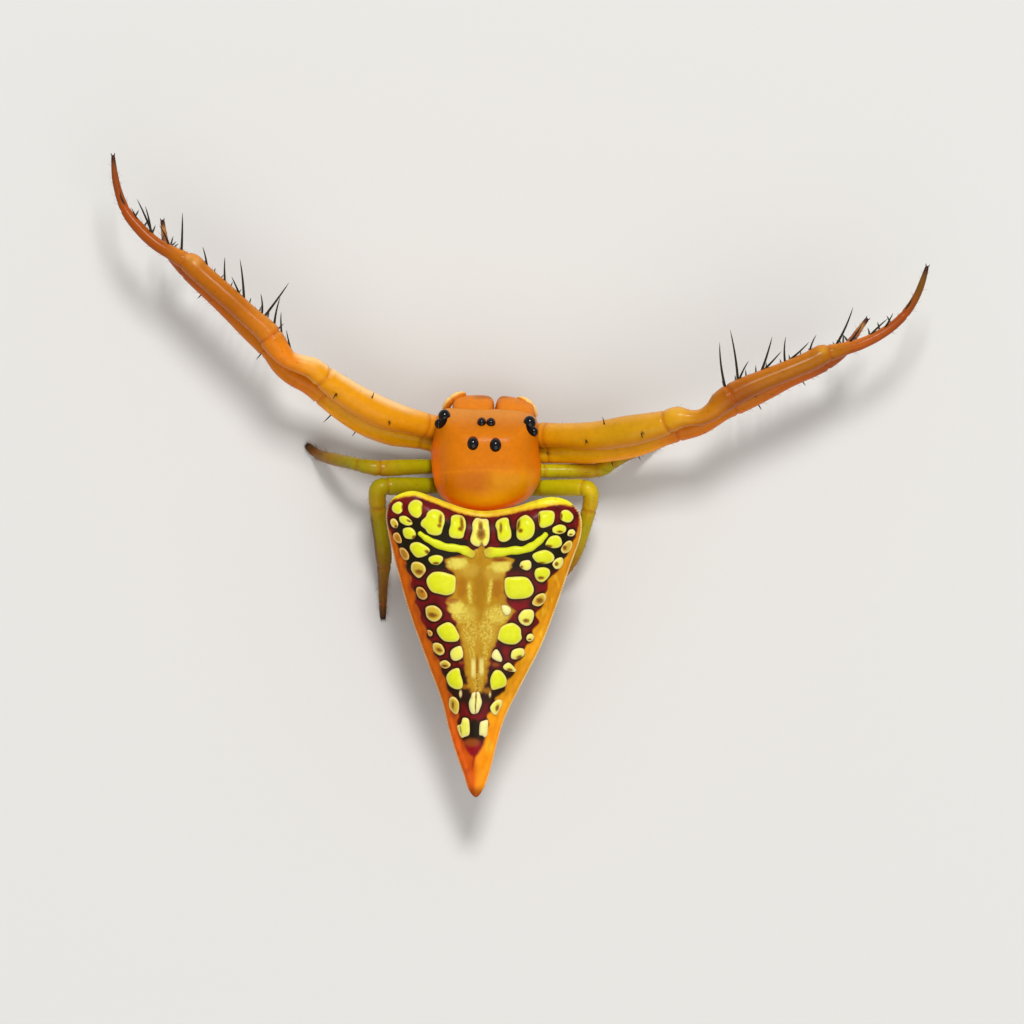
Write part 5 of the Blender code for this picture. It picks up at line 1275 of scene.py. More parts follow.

# Legs

# points: pixel x, pixel y, height in mm, width in pixels
# segments and joints: places along the points, counted from 0
# shade and pale: how light the leg is, and how strong the painted highlight on its upper front side is
# knobs: pixel place, height above the middle line in mm, reach in pixels, swelling in mm
# dots: pixel places of dark spine roots
legs = {
    "leg_1_left": {
        "look": "front", "segments": (3, 9, 20),
        "joints": (3, 4.2, 9, 14.5, 20, 25.3), "shade": 1, "pale": 0.9,
        "knobs": [
            (314.5, 363.5, 0.1, 8.5, 0.018), (305, 361.5, 0.08, 6, 0.016),
            (196.5, 260.5, 0.06, 7, 0.016), (188, 257, 0.05, 4.5, 0.012),
        ],
        "dots": [(390, 421.7), (336.7, 395)],
        "points": [
            (463, 437.5, 1.22, 14), (451, 432, 1.22, 18), (440, 428.5, 1.24, 22.4),
            (434, 427.3, 1.28, 23.8), (428, 426, 1.36, 25.1), (411, 421.4, 1.52, 26),
            (384, 413.4, 1.80, 30.5), (359, 401, 2.04, 29.5), (336, 386, 2.20, 26.5),
            (323.5, 376.6, 2.30, 23.5), (313, 368.8, 2.38, 21.5), (302, 364.6, 2.43, 19),
            (290.6, 360.4, 2.46, 18.5), (282.5, 353.6, 2.48, 21), (274.5, 343, 2.48, 24.5),
            (266, 331.2, 2.48, 23.5), (247, 314.4, 2.47, 21.5), (229, 297.9, 2.44, 21.6),
            (203, 275, 2.38, 21), (192.5, 265.2, 2.34, 22), (184.5, 260.4, 2.31, 18),
            (170, 252.2, 2.26, 14), (157, 244.4, 2.22, 13), (145, 234.2, 2.18, 12.5),
            (133, 221, 2.13, 11.5), (126.2, 211.6, 2.10, 10), (121.8, 202, 2.07, 9),
            (117.6, 189, 2.04, 7.8), (114.6, 174, 2.02, 6.5), (112.8, 154.5, 2.00, 3.6),
        ],
    },
    "leg_1_right": {
        "look": "frontRight", "segments": (3, 10, 21),
        "joints": (3, 4.2, 10, 15.5, 21, 25.7), "shade": 1, "pale": 0,
        "knobs": [(679.5, 413, 0.1, 8, 0.02), (672, 413.5, 0.05, 5.5, 0.014), (823, 350, 0.06, 6, 0.016)],
        "dots": [(587, 441), (642.5, 434)],
        "points": [
            (510, 441, 1.22, 14), (522, 438, 1.22, 18), (533, 435.5, 1.24, 22.4),
            (539, 434.9, 1.28, 23.8), (545, 434.9, 1.36, 25.1), (561, 435.4, 1.52, 25),
            (594, 436, 1.80, 29), (626, 431.4, 2.02, 31.2), (643, 428.2, 2.12, 29.5),
            (659, 424.6, 2.20, 26.5), (668, 421.6, 2.27, 24), (678, 418, 2.36, 22.5),
            (690, 418, 2.42, 16.5), (702, 417, 2.45, 16.5), (713.2, 410.6, 2.48, 19),
            (723, 400.9, 2.48, 23.5), (740, 390.8, 2.48, 23.5), (763, 380.4, 2.47, 21),
            (787, 370.8, 2.44, 20), (809, 361.6, 2.38, 20.5), (820.5, 355.6, 2.35, 20.5),
            (829, 353.2, 2.32, 17), (846, 348.4, 2.26, 13.2), (862, 343.4, 2.20, 11.5),
            (880, 334.6, 2.14, 10.3), (896, 323.2, 2.10, 9.2), (908, 310.2, 2.07, 8.4),
            (917, 295.5, 2.04, 7.4), (922.8, 281, 2.02, 6.4), (927.6, 265.5, 2.00, 3.6),
        ],
    },
    "leg_2_left": {
        "look": "second", "segments": (3, 9, 19),
        "joints": (3, 4.2, 9, 13.5, 19, 22), "shade": 1, "pale": 0,
        "knobs": [],
        "dots": [(249.5, 313.5)],
        "points": [
            (459, 453, 1.10, 13), (449, 449, 1.04, 16), (438, 445, 0.99, 18.4), (431, 442, 0.98, 19.1),
            (424, 439.6, 0.98, 19.8), (408, 436, 1.02, 23), (390, 432, 1.10, 26), (365, 422.5, 1.26, 26),
            (341, 407.5, 1.42, 25), (322, 393, 1.56, 23), (308, 383.4, 1.66, 21), (292, 375, 1.72, 20),
            (280.8, 365, 1.74, 20), (272.2, 351.6, 1.74, 21), (263.6, 343.2, 1.74, 21),
            (248.8, 329.8, 1.73, 19.5), (232, 312.6, 1.71, 19), (214, 295.4, 1.67, 18),
            (197.6, 280, 1.62, 18), (186.8, 270, 1.59, 16.5), (177.2, 261.8, 1.56, 12.5),
            (170, 253.8, 1.53, 10), (165.6, 245, 1.50, 7.4), (163.4, 232, 1.48, 5.8),
            (161.8, 219, 1.47, 4.2),
        ],
    },
    "leg_2_right": {
        "look": "second", "segments": (3, 10, 19),
        "joints": (3, 4.2, 10, 14.5, 19, 22), "shade": 1, "pale": 0,
        "knobs": [],
        "dots": [(548, 453.2), (754.5, 395.5)],
        "points": [
            (513, 456, 1.10, 13), (523, 455, 1.04, 16), (533, 454, 0.99, 18.4), (539, 453.6, 0.98, 19.1),
            (546, 453.2, 0.98, 19.8), (562.5, 452, 1.02, 22.5), (594, 451.2, 1.12, 24.5),
            (628, 446.6, 1.30, 24), (646, 442, 1.42, 23), (663, 435.4, 1.54, 22), (678.2, 431, 1.63, 21),
            (694, 427.6, 1.70, 19.5), (704.8, 422.9, 1.72, 19.5), (715, 416, 1.74, 20),
            (725, 409.4, 1.74, 20.5), (745, 401.4, 1.73, 19), (767, 390.4, 1.71, 18.5),
            (789.8, 378.2, 1.67, 18), (812.2, 368.6, 1.62, 17.5), (826, 362.4, 1.59, 15.5),
            (839.6, 354.4, 1.56, 12), (848, 346.4, 1.53, 9.6), (854.6, 337, 1.50, 7.2),
            (861.2, 327.5, 1.48, 5.6), (868.4, 317.8, 1.47, 4.2),
        ],
    },
    "leg_3_left": {
        "look": "hind", "segments": (3, 7, 12),
        "joints": (3, 4.2, 7, 9, 12, 14.5), "shade": 0.86, "pale": 0,
        "knobs": [],
        "dots": [],
        "points": [
            (460, 468, 1.08, 12), (450, 467.2, 1.06, 13.5), (441, 466.6, 1.05, 14),
            (437, 466.4, 1.06, 14.1), (432, 466.3, 1.08, 14.2), (410, 466.9, 1.30, 15.6),
            (393, 467.8, 1.46, 16.4), (379, 468, 1.56, 15.8), (369, 466.9, 1.58, 14.8),
            (360, 465.2, 1.50, 13.6), (350, 462.6, 1.28, 12.8), (341, 460.9, 1.04, 12.6),
            (333, 459, 0.80, 12.4), (325, 457, 0.50, 11.2), (318, 454.4, 0.22, 10), (313, 451.2, 0.09, 9),
            (309, 447.8, 0.07, 8), (304.8, 444, 0.05, 6.5),
        ],
    },
    "leg_3_right": {
        "look": "hind", "segments": (3, 7, 12),
        "joints": (3, 4.2, 7, 9, 12, 14.5), "shade": 1.14, "pale": 0,
        "knobs": [(606, 464, 0.05, 5, 0.02)],
        "dots": [],
        "points": [
            (512, 471.4, 1.08, 12), (522, 471.2, 1.06, 13.5), (531, 471, 1.05, 14),
            (535.5, 470.9, 1.06, 14), (541, 470.8, 1.06, 14), (562, 470.9, 1.05, 14.6),
            (582, 471, 1.00, 14.6), (595, 470.4, 0.95, 14.6), (604, 468, 0.89, 14.4),
            (611, 463.5, 0.80, 13.8), (619, 458.5, 0.68, 13.4), (628, 454, 0.55, 12.8),
            (636, 451, 0.42, 12), (643, 448.5, 0.30, 11), (650, 446, 0.16, 10), (655.5, 443.5, 0.08, 9),
            (660.5, 441, 0.07, 8), (665.5, 438, 0.05, 6.5),
        ],
    },
    "leg_4_left": {
        "look": "hind", "segments": (3, 7, 14),
        "joints": (3, 4.2, 7, 10, 14, 17), "shade": 0.8, "pale": 0,
        "knobs": [],
        "dots": [],
        "strip": (0.46, 0.86),
        "points": [
            (462, 483.5, 1.08, 12.5), (453, 484.5, 1.06, 14.5), (444, 485, 1.05, 15.5),
            (439, 485.2, 1.06, 15.8), (433, 485.6, 1.09, 16), (411, 486.2, 1.30, 18),
            (396, 486.2, 1.44, 18), (386, 486.4, 1.51, 18), (378.6, 488.8, 1.55, 18.2),
            (377, 496, 1.51, 17.5), (377.4, 506, 1.41, 17), (378.6, 521, 1.22, 16.4),
            (380.8, 537, 1.03, 16), (382.9, 552, 0.84, 17), (383.5, 564.5, 0.66, 14.8),
            (382.8, 579, 0.42, 10.8), (382.4, 594, 0.17, 8.8), (382.3, 604.5, 0.08, 7.8),
            (382.3, 612.5, 0.06, 6.8), (382.6, 620.5, 0.05, 5.6),
        ],
    },
    "leg_4_right": {
        "look": "hind", "segments": (3, 7, 14),
        "joints": (3, 4.2, 7, 10, 14, 17), "shade": 1.16, "pale": 0,
        "knobs": [(590, 490, 0.05, 5, 0.02)],
        "dots": [],
        "points": [
            (510, 486.5, 1.08, 12.5), (518, 487.5, 1.06, 14.5), (527, 488, 1.05, 15.5),
            (532, 488, 1.06, 15.8), (538, 488, 1.09, 16), (560, 487.8, 1.30, 17), (574, 487.5, 1.44, 17),
            (583.4, 487.8, 1.51, 17), (590, 491, 1.54, 16.5), (591, 499, 1.49, 15.5),
            (589.2, 509, 1.38, 15), (585.6, 523, 1.20, 14.2), (581.2, 538, 1.02, 13.6),
            (576.4, 552, 0.84, 12.8), (570, 564.5, 0.63, 11.6), (561, 575.5, 0.41, 10.6),
            (552.4, 585.5, 0.19, 9.5), (546.4, 592.5, 0.08, 8.5), (541.8, 597.6, 0.07, 7.5),
            (537.2, 602.6, 0.05, 6.2),
        ],
    },
}
legLooks = {
    # share of the length, colour on top, colour on the front side, colour on the rear side; on the first legs
    # the paler front side is partly painted highlight, and on the second legs the brighter rear side near the
    # body is painted light against the first legs' shade
    "front": [
        (0.00, rgb(206, 122, 10), rgb(214, 130, 24), rgb(196, 110, 8)),
        (0.12, rgb(218, 142, 10), rgb(244, 178, 84), rgb(222, 138, 8)),
        (0.34, rgb(220, 144, 9), rgb(250, 190, 108), rgb(226, 138, 8)),
        (0.43, rgb(222, 124, 14), rgb(246, 172, 90), rgb(212, 112, 10)),
        (0.50, rgb(196, 112, 20), rgb(228, 146, 60), rgb(188, 98, 8)),
        (0.58, rgb(172, 94, 6), rgb(212, 122, 26), rgb(172, 86, 6)),
        (0.72, rgb(176, 98, 8), rgb(216, 128, 34), rgb(172, 82, 8)),
        (0.78, rgb(160, 76, 10), rgb(180, 94, 26), rgb(160, 66, 8)),
        (0.88, rgb(158, 70, 10), rgb(176, 82, 20), rgb(156, 60, 8)),
        (0.96, rgb(134, 64, 18), rgb(146, 74, 24), rgb(118, 56, 16)),
        (1.00, rgb(96, 62, 28), rgb(96, 62, 28), rgb(84, 52, 24)),
    ],
    "frontRight": [
        (0.00, rgb(204, 122, 8), rgb(208, 128, 20), rgb(196, 110, 6)),
        (0.12, rgb(205, 140, 6), rgb(226, 160, 60), rgb(206, 130, 6)),
        (0.25, rgb(190, 136, 4), rgb(216, 152, 52), rgb(204, 128, 4)),
        (0.36, rgb(202, 140, 10), rgb(226, 162, 66), rgb(200, 122, 6)),
        (0.43, rgb(184, 112, 8), rgb(206, 138, 46), rgb(176, 92, 6)),
        (0.50, rgb(148, 76, 4), rgb(190, 106, 28), rgb(150, 72, 4)),
        (0.58, rgb(164, 96, 4), rgb(200, 112, 22), rgb(162, 82, 4)),
        (0.72, rgb(162, 96, 6), rgb(202, 120, 32), rgb(160, 80, 6)),
        (0.78, rgb(170, 80, 12), rgb(206, 108, 36), rgb(164, 66, 10)),
        (0.88, rgb(150, 66, 12), rgb(172, 82, 26), rgb(142, 58, 10)),
        (0.96, rgb(112, 70, 14), rgb(124, 76, 22), rgb(102, 56, 12)),
        (1.00, rgb(84, 58, 24), rgb(84, 58, 24), rgb(74, 48, 20)),
    ],
    "second": [
        (0.00, rgb(214, 136, 12), rgb(216, 140, 16), rgb(210, 126, 8)),
        (0.12, rgb(236, 180, 6), rgb(232, 176, 10), rgb(246, 162, 8)),
        (0.34, rgb(222, 152, 6), rgb(216, 150, 10), rgb(246, 154, 8)),
        (0.44, rgb(216, 120, 10), rgb(216, 122, 14), rgb(212, 110, 8)),
        (0.60, rgb(206, 116, 8), rgb(212, 120, 14), rgb(204, 106, 8)),
        (0.76, rgb(200, 100, 16), rgb(206, 106, 22), rgb(188, 86, 12)),
        (0.86, rgb(176, 84, 24), rgb(182, 90, 30), rgb(156, 68, 20)),
        (0.95, rgb(158, 84, 40), rgb(164, 90, 46), rgb(134, 66, 30)),
        (0.975, rgb(176, 122, 70), rgb(176, 122, 70), rgb(150, 98, 54)),
        (1.00, rgb(60, 44, 26), rgb(60, 44, 26), rgb(50, 36, 22)),
    ],
    "hind": [
        (0.00, rgb(180, 168, 10), rgb(184, 172, 16), rgb(192, 176, 40)),
        (0.14, rgb(180, 174, 8), rgb(184, 178, 12), rgb(200, 186, 44)),
        (0.34, rgb(178, 162, 8), rgb(184, 168, 14), rgb(200, 176, 40)),
        (0.42, rgb(182, 146, 14), rgb(190, 154, 24), rgb(182, 136, 18)),
        (0.54, rgb(158, 144, 8), rgb(166, 152, 14), rgb(158, 130, 10)),
        (0.72, rgb(156, 120, 10), rgb(164, 128, 18), rgb(150, 98, 12)),
        (0.88, rgb(136, 86, 16), rgb(142, 92, 22), rgb(124, 68, 14)),
        (1.00, rgb(80, 48, 18), rgb(80, 48, 18), rgb(70, 40, 16)),
    ],
}
legForm = {
    "depth": 1.08, "sides": 30, "every": 0.045,  # a ring every so many mm
    # at each joint a groove with a lip on both sides, in mm along the leg; the trochanter's is faint
    "groove": 0.12, "grooveWidth": 0.030, "faint": 0.3,
    "lip": 0.02, "lipAt": 0.085, "lipWidth": 0.045, "jointTint": 0.032,
    "parts": ("coxa", "femur", "tibia", "foot"),
    # pale is the painted highlight on the upper front of the femur
    "dark": rgb(96, 22, 16), "pale": rgb(252, 208, 144), "joint": rgb(176, 70, 18),
    # the two knob colours are painted highlights on the knee knobs
    "knob": rgb(236, 182, 56), "knobSheen": rgb(248, 194, 108),
    # shares of the length where the painted highlight on the front begins and ends, and where the claw end
    # goes dark
    "sheenFrom": (0.10, 0.16), "sheenTo": (0.38, 0.44), "tip": (0.976, 0.993),
}


def legWidth(way, joints):
    def width(length):
        out = 1.0
        for joint in joints:
            d = millimetres(length - way.lengthAt(joint))
            groove = legForm["groove"] * (1.0 if joint > 5 else legForm["faint"])
            out -= groove * bell(d / legForm["grooveWidth"])
            out += legForm["lip"] * bell((abs(d) - legForm["lipAt"]) / legForm["lipWidth"])
        return out
    return width


def pushKnobs(bm, way, knobs):
    # swells the skin round each knob, outwards from the leg's middle line
    for px, py, lift, reach, height in knobs:
        centre = way.look(way.nearest(px, py))[0]
        knob = at(px, py, millimetres(centre.z) + lift)
        for v in bm.verts:
            d = (v.co - knob).length / (reach * step)
            if d < 2.5:
                away = (v.co - centre).normalized()
                v.co += away * (height * plan["metres"] * bell(d))


# painted highlights on the knobs and painted shade in the dark strip; the spine roots and the dark tip are
# the leg's own colour
def legMarks(out, v, share, leg):  # knobs, spine roots, a dark strip and the dark tip
    place = pixelOf(v.co)
    # painted highlight round each knob
    for px, py, _, reach, _ in leg["knobs"]:
        d = oval(px, py, place, (reach, reach))
        knobGlint = between(legForm["knob"], legForm["knobSheen"], leg["pale"])
        out = between(out, knobGlint, 0.36 * math.exp(-2.0 * d * d))
    for px, py in leg["dots"]:
        if v.normal.z > 0.0:
            d = oval(px, py, place, (1.0, 1.0))
            out = between(out, 0.3 * legForm["dark"], 0.85 * (1.0 - ramp(0.9, 2.1, d)))
    # painted shade: a dark strip along part of the leg's outer side
    if "strip" in leg:
        low, high = leg["strip"]
        strip = ramp(low, low + 0.04, share) * (1.0 - ramp(high - 0.04, high, share))
        out = between(out, legForm["dark"], 0.75 * ramp(0.45, 0.9, v.normal.x) * strip)
    return between(out, 0.3 * legForm["dark"], 0.85 * ramp(*legForm["tip"], share))


def legTint(way, leg):
    rows = legLooks[leg["look"]]
    joints = [way.lengthAt(j) for j in leg["joints"]]

    def tint(v):
        length = way.nearestTo(v.co)
        share = length / way.run[-1]
        for a, b in zip(rows[:-1], rows[1:]):
            if share <= b[0]:
                break
        top, front, rear = [between(p, q, ramp(a[0], b[0], share)) for p, q in zip(a[1:], b[1:])]
        forwards = max(0.0, -v.normal.y)
        # the front and rear sides take their own colours, which hold painted highlight and painted light on
        # some legs
        out = between(top, front, ramp(0.35, 0.95, forwards))
        out = between(out, rear, ramp(0.35, 0.95, max(0.0, v.normal.y)))
        # painted highlight along the upper front of the femur
        pale = ramp(*legForm["sheenFrom"], share) * (1.0 - ramp(*legForm["sheenTo"], share))
        pale *= ramp(0.25, 0.8, forwards) * ramp(-0.15, 0.35, v.normal.z)
        out = between(out, legForm["pale"], leg["pale"] * pale)
        # painted shade: the underside is darker
        if v.normal.z < 0.0:
            out = out * (1.0 - 0.25 * ramp(0.0, 0.9, -v.normal.z))
        for joint in joints:
            near = bell(millimetres(length - joint) / legForm["jointTint"])
            out = between(out, legForm["joint"], 0.45 * near)
        return legMarks(out, v, share, leg) * (leg["shade"] + 0.05 * noise.noise(v.co * 4000.0))
    return tint


frontLook = dict(shellLook, roughness=0.34, coat=0.10, coatRoughness=0.16)
hindLook = dict(shellLook, roughness=0.32, coat=0.08, coatRoughness=0.12)
legFinishes = {
    "front": (cuticle("legShell", frontLook), "orange_cuticle"),
    "hind": (cuticle("hindLegShell", hindLook), "olive_cuticle"),
}
ways = {}
for name, leg in legs.items():
    print(name)
    way = Way(leg["points"])
    ways[name] = way
    bm = tube(
        way, int(millimetres(way.run[-1]) / legForm["every"]), legForm["sides"], legWidth(way, leg["joints"]),
        legForm["depth"], roundStop=0.8 * way.halves[-1],
    )
    pushKnobs(bm, way, leg["knobs"])
    skin, slotName = legFinishes["hind" if leg["look"] == "hind" else "front"]
    nodes = [name + "_" + part for part in legForm["parts"]]
    addPiece(name.replace("_", "") + "Skin", bm, skin, nodes, legTint(way, leg))

# Spines, hairs and claws of the legs

bristles = {
    "seed": 41,
    "long": {  # base pixel, tip pixel, height of the tip above the leg's middle in mm
        "leg_1_left": [
            ((290.7, 348.3), (286.5, 330.0), 0.12), ((282.0, 329.0), (281.4, 312.0), 0.18),
            ((275.7, 321.0), (280.5, 297.5), 0.25), ((261.5, 310.5), (261.0, 294.0), 0.38),
            ((266.0, 314.5), (289.0, 283.0), 0.05), ((243.6, 298.0), (240.2, 259.5), 0.12),
            ((238.5, 292.0), (232.0, 277.0), 0.35), ((225.2, 281.5), (225.0, 257.5), 0.20),
            ((206.5, 264.5), (203.0, 247.0), 0.25), ((181.4, 252.2), (182.6, 213.0), 0.10),
            ((168.0, 243.0), (160.0, 226.0), 0.28), ((153.0, 236.0), (137.0, 199.0), 0.08),
            ((150.5, 234.0), (145.5, 206.5), 0.28), ((140.0, 224.0), (131.5, 208.0), 0.12),
            ((128.0, 211.0), (119.5, 190.5), 0.16),
        ],
        "leg_1_right": [
            ((725.0, 383.0), (719.5, 342.5), 0.12), ((737.0, 378.0), (730.0, 330.0), 0.08),
            ((741.0, 377.0), (748.5, 361.0), 0.30), ((762.0, 368.5), (772.0, 337.0), 0.10),
            ((767.5, 366.0), (781.0, 351.5), 0.25), ((785.5, 359.5), (785.5, 337.0), 0.18),
            ((791.0, 358.0), (809.0, 342.0), 0.15), ((811.0, 349.5), (816.0, 335.0), 0.28),
            ((835.0, 345.5), (853.0, 307.0), 0.08), ((849.5, 341.5), (862.0, 324.0), 0.30),
            ((868.5, 338.0), (888.0, 318.5), 0.12), ((884.0, 328.5), (893.0, 313.0), 0.26),
            ((903.0, 312.5), (912.0, 298.5), 0.14),
        ],
    },
    "rear": {
        "leg_2_left": [((332.0, 417.0), (323.0, 422.5)), ((357.0, 431.0), (351.5, 436.5)),
                       ((262.0, 352.0), (256.0, 359.5)), ((203.5, 292.0), (197.0, 298.5))],
        "leg_2_right": [((635.5, 454.0), (641.0, 460.5)), ((611.0, 460.0), (613.5, 467.0)),
                        ((757.0, 402.0), (762.0, 410.0)), ((800.0, 378.0), (806.0, 385.5))],
    },
    "erect": {  # base pixel, length in mm
        "leg_1_left": [((336.7, 395.0), 0.34), ((390.0, 421.7), 0.30), ((372.0, 396.0), 0.26)],
        "leg_1_right": [((587.0, 441.0), 0.30), ((642.5, 434.0), 0.34), ((603.0, 421.0), 0.26)],
    },
    "radius": 0.030, "shortRadius": 0.020,
    # spines in the row under each piece: count, shares of its length where the row begins and ends
    "lowerLegs": ("leg_1_left", "leg_1_right", "leg_2_left", "leg_2_right"),
    "lowerRow": {"tibia": (9, 0.36, 0.95), "foot": (5, 0.10, 0.56)}, "lowerLength": 0.60, "lowerSlope": 1.9,
    "colour": rgb(40, 36, 20),
}
draw = random.Random(bristles["seed"])
print("spines")
spines = []
for name, rows in bristles["long"].items():
    way = ways[name]
    for base, tip, rise in rows:
        centre, half, _ = way.look(way.nearest(*base))
        root = at(*base, millimetres(centre.z) + 0.15 * rise)
        end = at(*tip, millimetres(centre.z) + rise)
        away = (end - root).normalized()
        r = bristles["radius"] * plan["metres"] * min(1.0, 0.55 + 0.63 * millimetres((end - root).length))
        spines.append(spike(root - away * (0.7 * half), end, r, draw.uniform(-0.05, 0.05), 8, 8))
for name, rows in bristles["rear"].items():
    way = ways[name]
    for base, tip in rows:
        centre, half, _ = way.look(way.nearest(*base))
        end = at(*tip, millimetres(centre.z) - 0.05)
        root = centre + (end - centre).normalized() * 0.4 * half
        spines.append(spike(root, end, bristles["shortRadius"] * plan["metres"]))
for name, rows in bristles["erect"].items():
    way = ways[name]
    for base, tall in rows:
        centre, half, _ = way.look(way.nearest(*base))
        high = half * legForm["depth"]
        tilt = (at(*base, millimetres(centre.z)) - centre + Vector((0, 0, high))).normalized()
        end = centre + tilt * (high + tall * plan["metres"])
        spines.append(spike(centre + tilt * 0.5 * half, end, bristles["shortRadius"] * plan["metres"], 0.04))
for name in bristles["lowerLegs"]:
    way = ways[name]
    cuts = [way.lengthAt(legs[name]["segments"][k]) for k in (1, 2)] + [way.run[-1]]
    for k, part in enumerate(("tibia", "foot")):
        count, first, last = bristles["lowerRow"][part]
        for i in range(count):
            length = between(cuts[k], cuts[k + 1], between(first, last, (i + 0.3 * draw.random()) / count))
            centre, half, (along, _, _) = way.look(length)
            ahead = Vector((along.y, -along.x, 0.0)).normalized()
            if ahead.y > 0.0:
                ahead = -ahead
            away = (ahead + Vector((0, 0, -bristles["lowerSlope"])) + along * 0.35).normalized()
            reach = bristles["lowerLength"] * plan["metres"] * (1.0 - 0.35 * i / count)
            end = centre + away * (half + reach * draw.uniform(0.9, 1.1))
            r = min(bristles["radius"] * plan["metres"], 0.3 * half)
            spines.append(spike(centre + away * 0.4 * half, end, r, draw.uniform(-0.04, 0.04)))
spineHorn = cuticle("spineHorn", {
    "colour": bristles["colour"], "roughness": 0.4, "coat": 0.1, "specular": 0.12,
})
addPiece("legSpines", gather(spines), spineHorn)

clawForm = {
    "length": 0.10, "radius": 0.016, "bow": 0.12,
    "above": 0.01,  # no claw or hair ends lower than this many mm
    "colour": rgb(40, 24, 16),
}
lowest = clawForm["above"] * plan["metres"]
print("claws")
claws = []
for way in ways.values():
    centre, half, (along, side, _) = way.look(way.run[-1])
    for turn in (-1.0, 1.0):
        root = centre - along * (0.8 * half) + side * (0.35 * half * turn)
        away = along * 0.75 + side * 0.25 * turn - Vector((0, 0, 0.25))
        end = root + away * clawForm["length"] * plan["metres"]
        end.z = max(end.z, lowest)
        claws.append(spike(root, end, clawForm["radius"] * plan["metres"], clawForm["bow"] * turn, 6, 5))
clawHorn = cuticle("clawHorn", {
    "colour": clawForm["colour"], "roughness": 0.25, "coat": 0.3, "specular": 0.12,
})
addPiece("claws", gather(claws), clawHorn)

hairForm = {
    "each": 190, "length": (0.07, 0.17), "radius": 0.0042,  # hairs on each leg, and mm
    "from": 0.10, "to": 0.985,  # shares of the leg's length
    "colour": rgb(120, 84, 36),
}
print("hairs")
strand = bmesh.new()
bmesh.ops.create_cone(strand, cap_ends=True, segments=3, radius1=1.0, radius2=0.08, depth=1.0)
bmesh.ops.translate(strand, verts=strand.verts, vec=(0, 0, 0.5))
strand.verts.ensure_lookup_table()
shape = [v.co.copy() for v in strand.verts]
faces = [[v.index for v in f.verts] for f in strand.faces]
strand.free()
points = []
allFaces = []
patches = []  # each hair's own place on the map, by its share of the leg and its turn round it
for order, way in enumerate(ways.values()):
    for i in range(hairForm["each"]):
        share = draw.uniform(hairForm["from"], hairForm["to"])
        turn = draw.uniform(0.0, 2.0 * math.pi)
        centre, half, (along, side, up) = way.look(way.run[-1] * share)
        out = side * math.cos(turn) + up * math.sin(turn) * legForm["depth"]
        root = centre + out * (half * 0.9)
        lean = (out.normalized() * 0.75 + along * draw.uniform(0.5, 1.0)).normalized()
        tall = draw.uniform(*hairForm["length"]) * plan["metres"] * (0.7 + 0.5 * share)
        if root.z + lean.z * tall < lowest:
            continue
        r = hairForm["radius"] * plan["metres"]
        across = lean.orthogonal().normalized()
        turned = Matrix((across, lean.cross(across), lean)).transposed()
        first = len(points)
        points += [tuple(turned @ Vector((p.x * r, p.y * r, p.z * tall)) + root) for p in shape]
        allFaces += [[first + k for k in f] for f in faces]
        patches.append((share, (order + turn / (2.0 * math.pi)) / len(ways)))
hairMesh = bpy.data.meshes.new("hair")
hairMesh.from_pydata(points, [], allFaces)
hairBm = bmesh.new()
hairBm.from_mesh(hairMesh)
bpy.data.meshes.remove(hairMesh)
bakeMap = hairBm.loops.layers.uv.new("OFBake")
for face in hairBm.faces:
    middle = [0.004 + 0.992 * place for place in patches[face.index // len(faces)]]
    corners = ovalRing(middle, (0.0015, 0.0015), len(face.loops))
    for corner, loop in zip(corners, face.loops):
        loop[bakeMap].uv = corner
hairHorn = cuticle("hairHorn", {"colour": hairForm["colour"], "roughness": 0.45, "specular": 0.10})
addPiece("legHairs", hairBm, hairHorn, smooth=False)

# Floor, light and camera

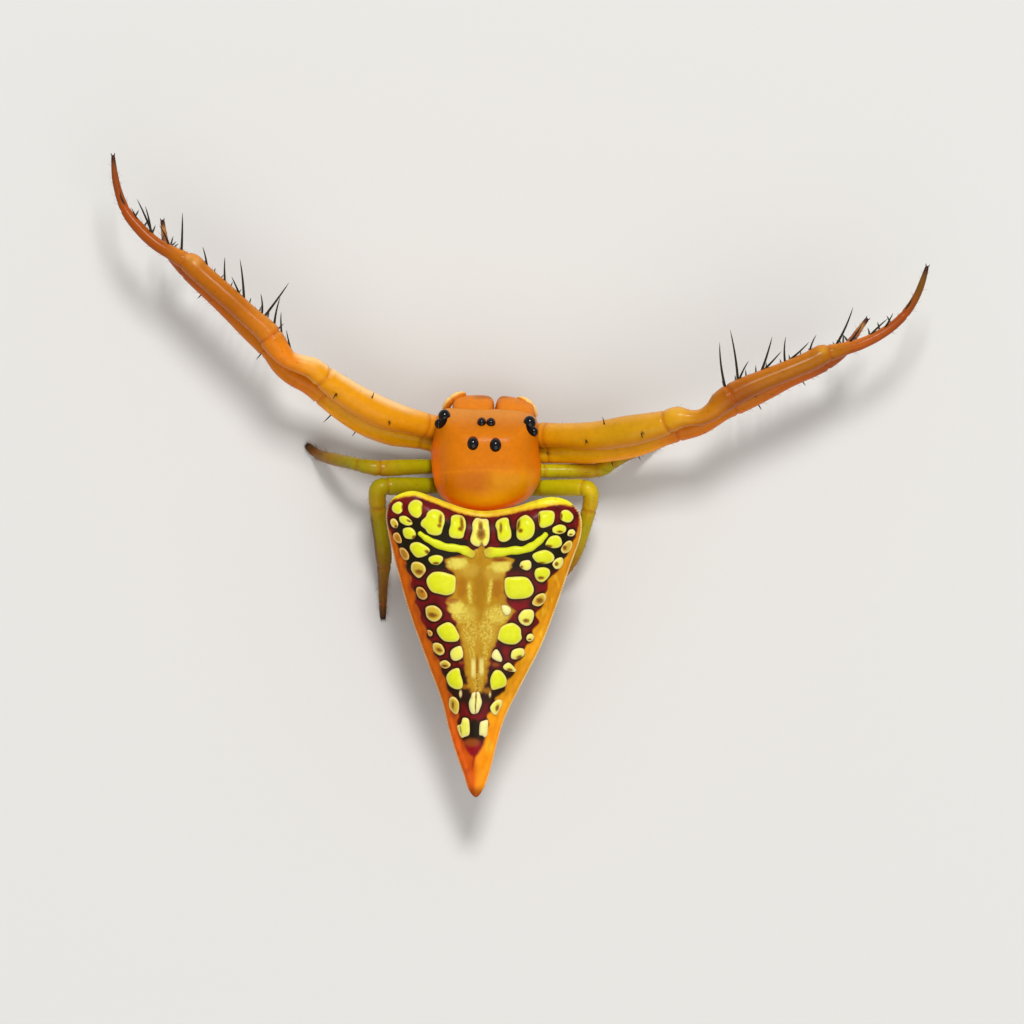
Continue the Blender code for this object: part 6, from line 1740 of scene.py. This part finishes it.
studio = {
    "floorSize": 0.6, "floorGap": 0.01, "floorColour": rgb(214, 212, 208),  # size in metres, gap in mm
    # places in metres from the middle of the picture, sizes in metres, powers in watts
    "keyPlace": (-0.03, -0.20, 0.31), "keySize": 0.085, "keyPower": 0.90,
    "fillPlace": (-0.08, 0.24, 0.36), "fillSize": 0.42, "fillPower": 0.80,
    "world": 0.42,
    # the camera: pixel it looks at, that place's height in mm, distance in metres, width of the picture
    "middle": (512.0, 512.0), "height": 2.2, "distance": 0.5, "pixels": 1024.0,
}
print("studio")
ground = bmesh.new()
bmesh.ops.create_grid(ground, x_segments=1, y_segments=1, size=studio["floorSize"] / 2)
bmesh.ops.translate(ground, verts=ground.verts, vec=(0, 0, -studio["floorGap"] * plan["metres"]))
mesh = bpy.data.meshes.new("floor")
ground.to_mesh(mesh)
ground.free()
floor = bpy.data.objects.new("floor", mesh)
bpy.context.scene.collection.objects.link(floor)
paper = bpy.data.materials.new("floorPaper")
paper.use_nodes = True
shader = paper.node_tree.nodes["Principled BSDF"]
shader.inputs["Base Color"].default_value = (*studio["floorColour"], 1.0)
shader.inputs["Roughness"].default_value = 0.9
shader.inputs["Specular IOR Level"].default_value = 0.1
mesh.materials.append(paper)

target = at(*studio["middle"], studio["height"])
for part in ("key", "fill"):
    lamp = bpy.data.lights.new(part, "AREA")
    lamp.size = studio[part + "Size"]
    lamp.energy = studio[part + "Power"]
    obj = bpy.data.objects.new(part, lamp)
    obj.location = target + Vector(studio[part + "Place"])
    obj.rotation_euler = (target - obj.location).to_track_quat("-Z", "Y").to_euler()
    bpy.context.scene.collection.objects.link(obj)
world = bpy.data.worlds.new("studio")
world.use_nodes = True
sky = world.node_tree.nodes["Background"]
sky.inputs["Color"].default_value = (1.0, 1.0, 1.0, 1.0)
sky.inputs["Strength"].default_value = studio["world"]
bpy.context.scene.world = world
bpy.context.scene.view_settings.view_transform = "Standard"

eye = bpy.data.cameras.new("camera")
eye.lens = eye.sensor_width * studio["distance"] / (studio["pixels"] * step)
eye.clip_start = 0.01
eye.clip_end = 10.0
camera = bpy.data.objects.new("camera", eye)
camera.location = target + Vector((0, 0, studio["distance"]))
camera.rotation_euler = (0.0, 0.0, math.pi)
bpy.context.scene.collection.objects.link(camera)
bpy.context.scene.camera = camera
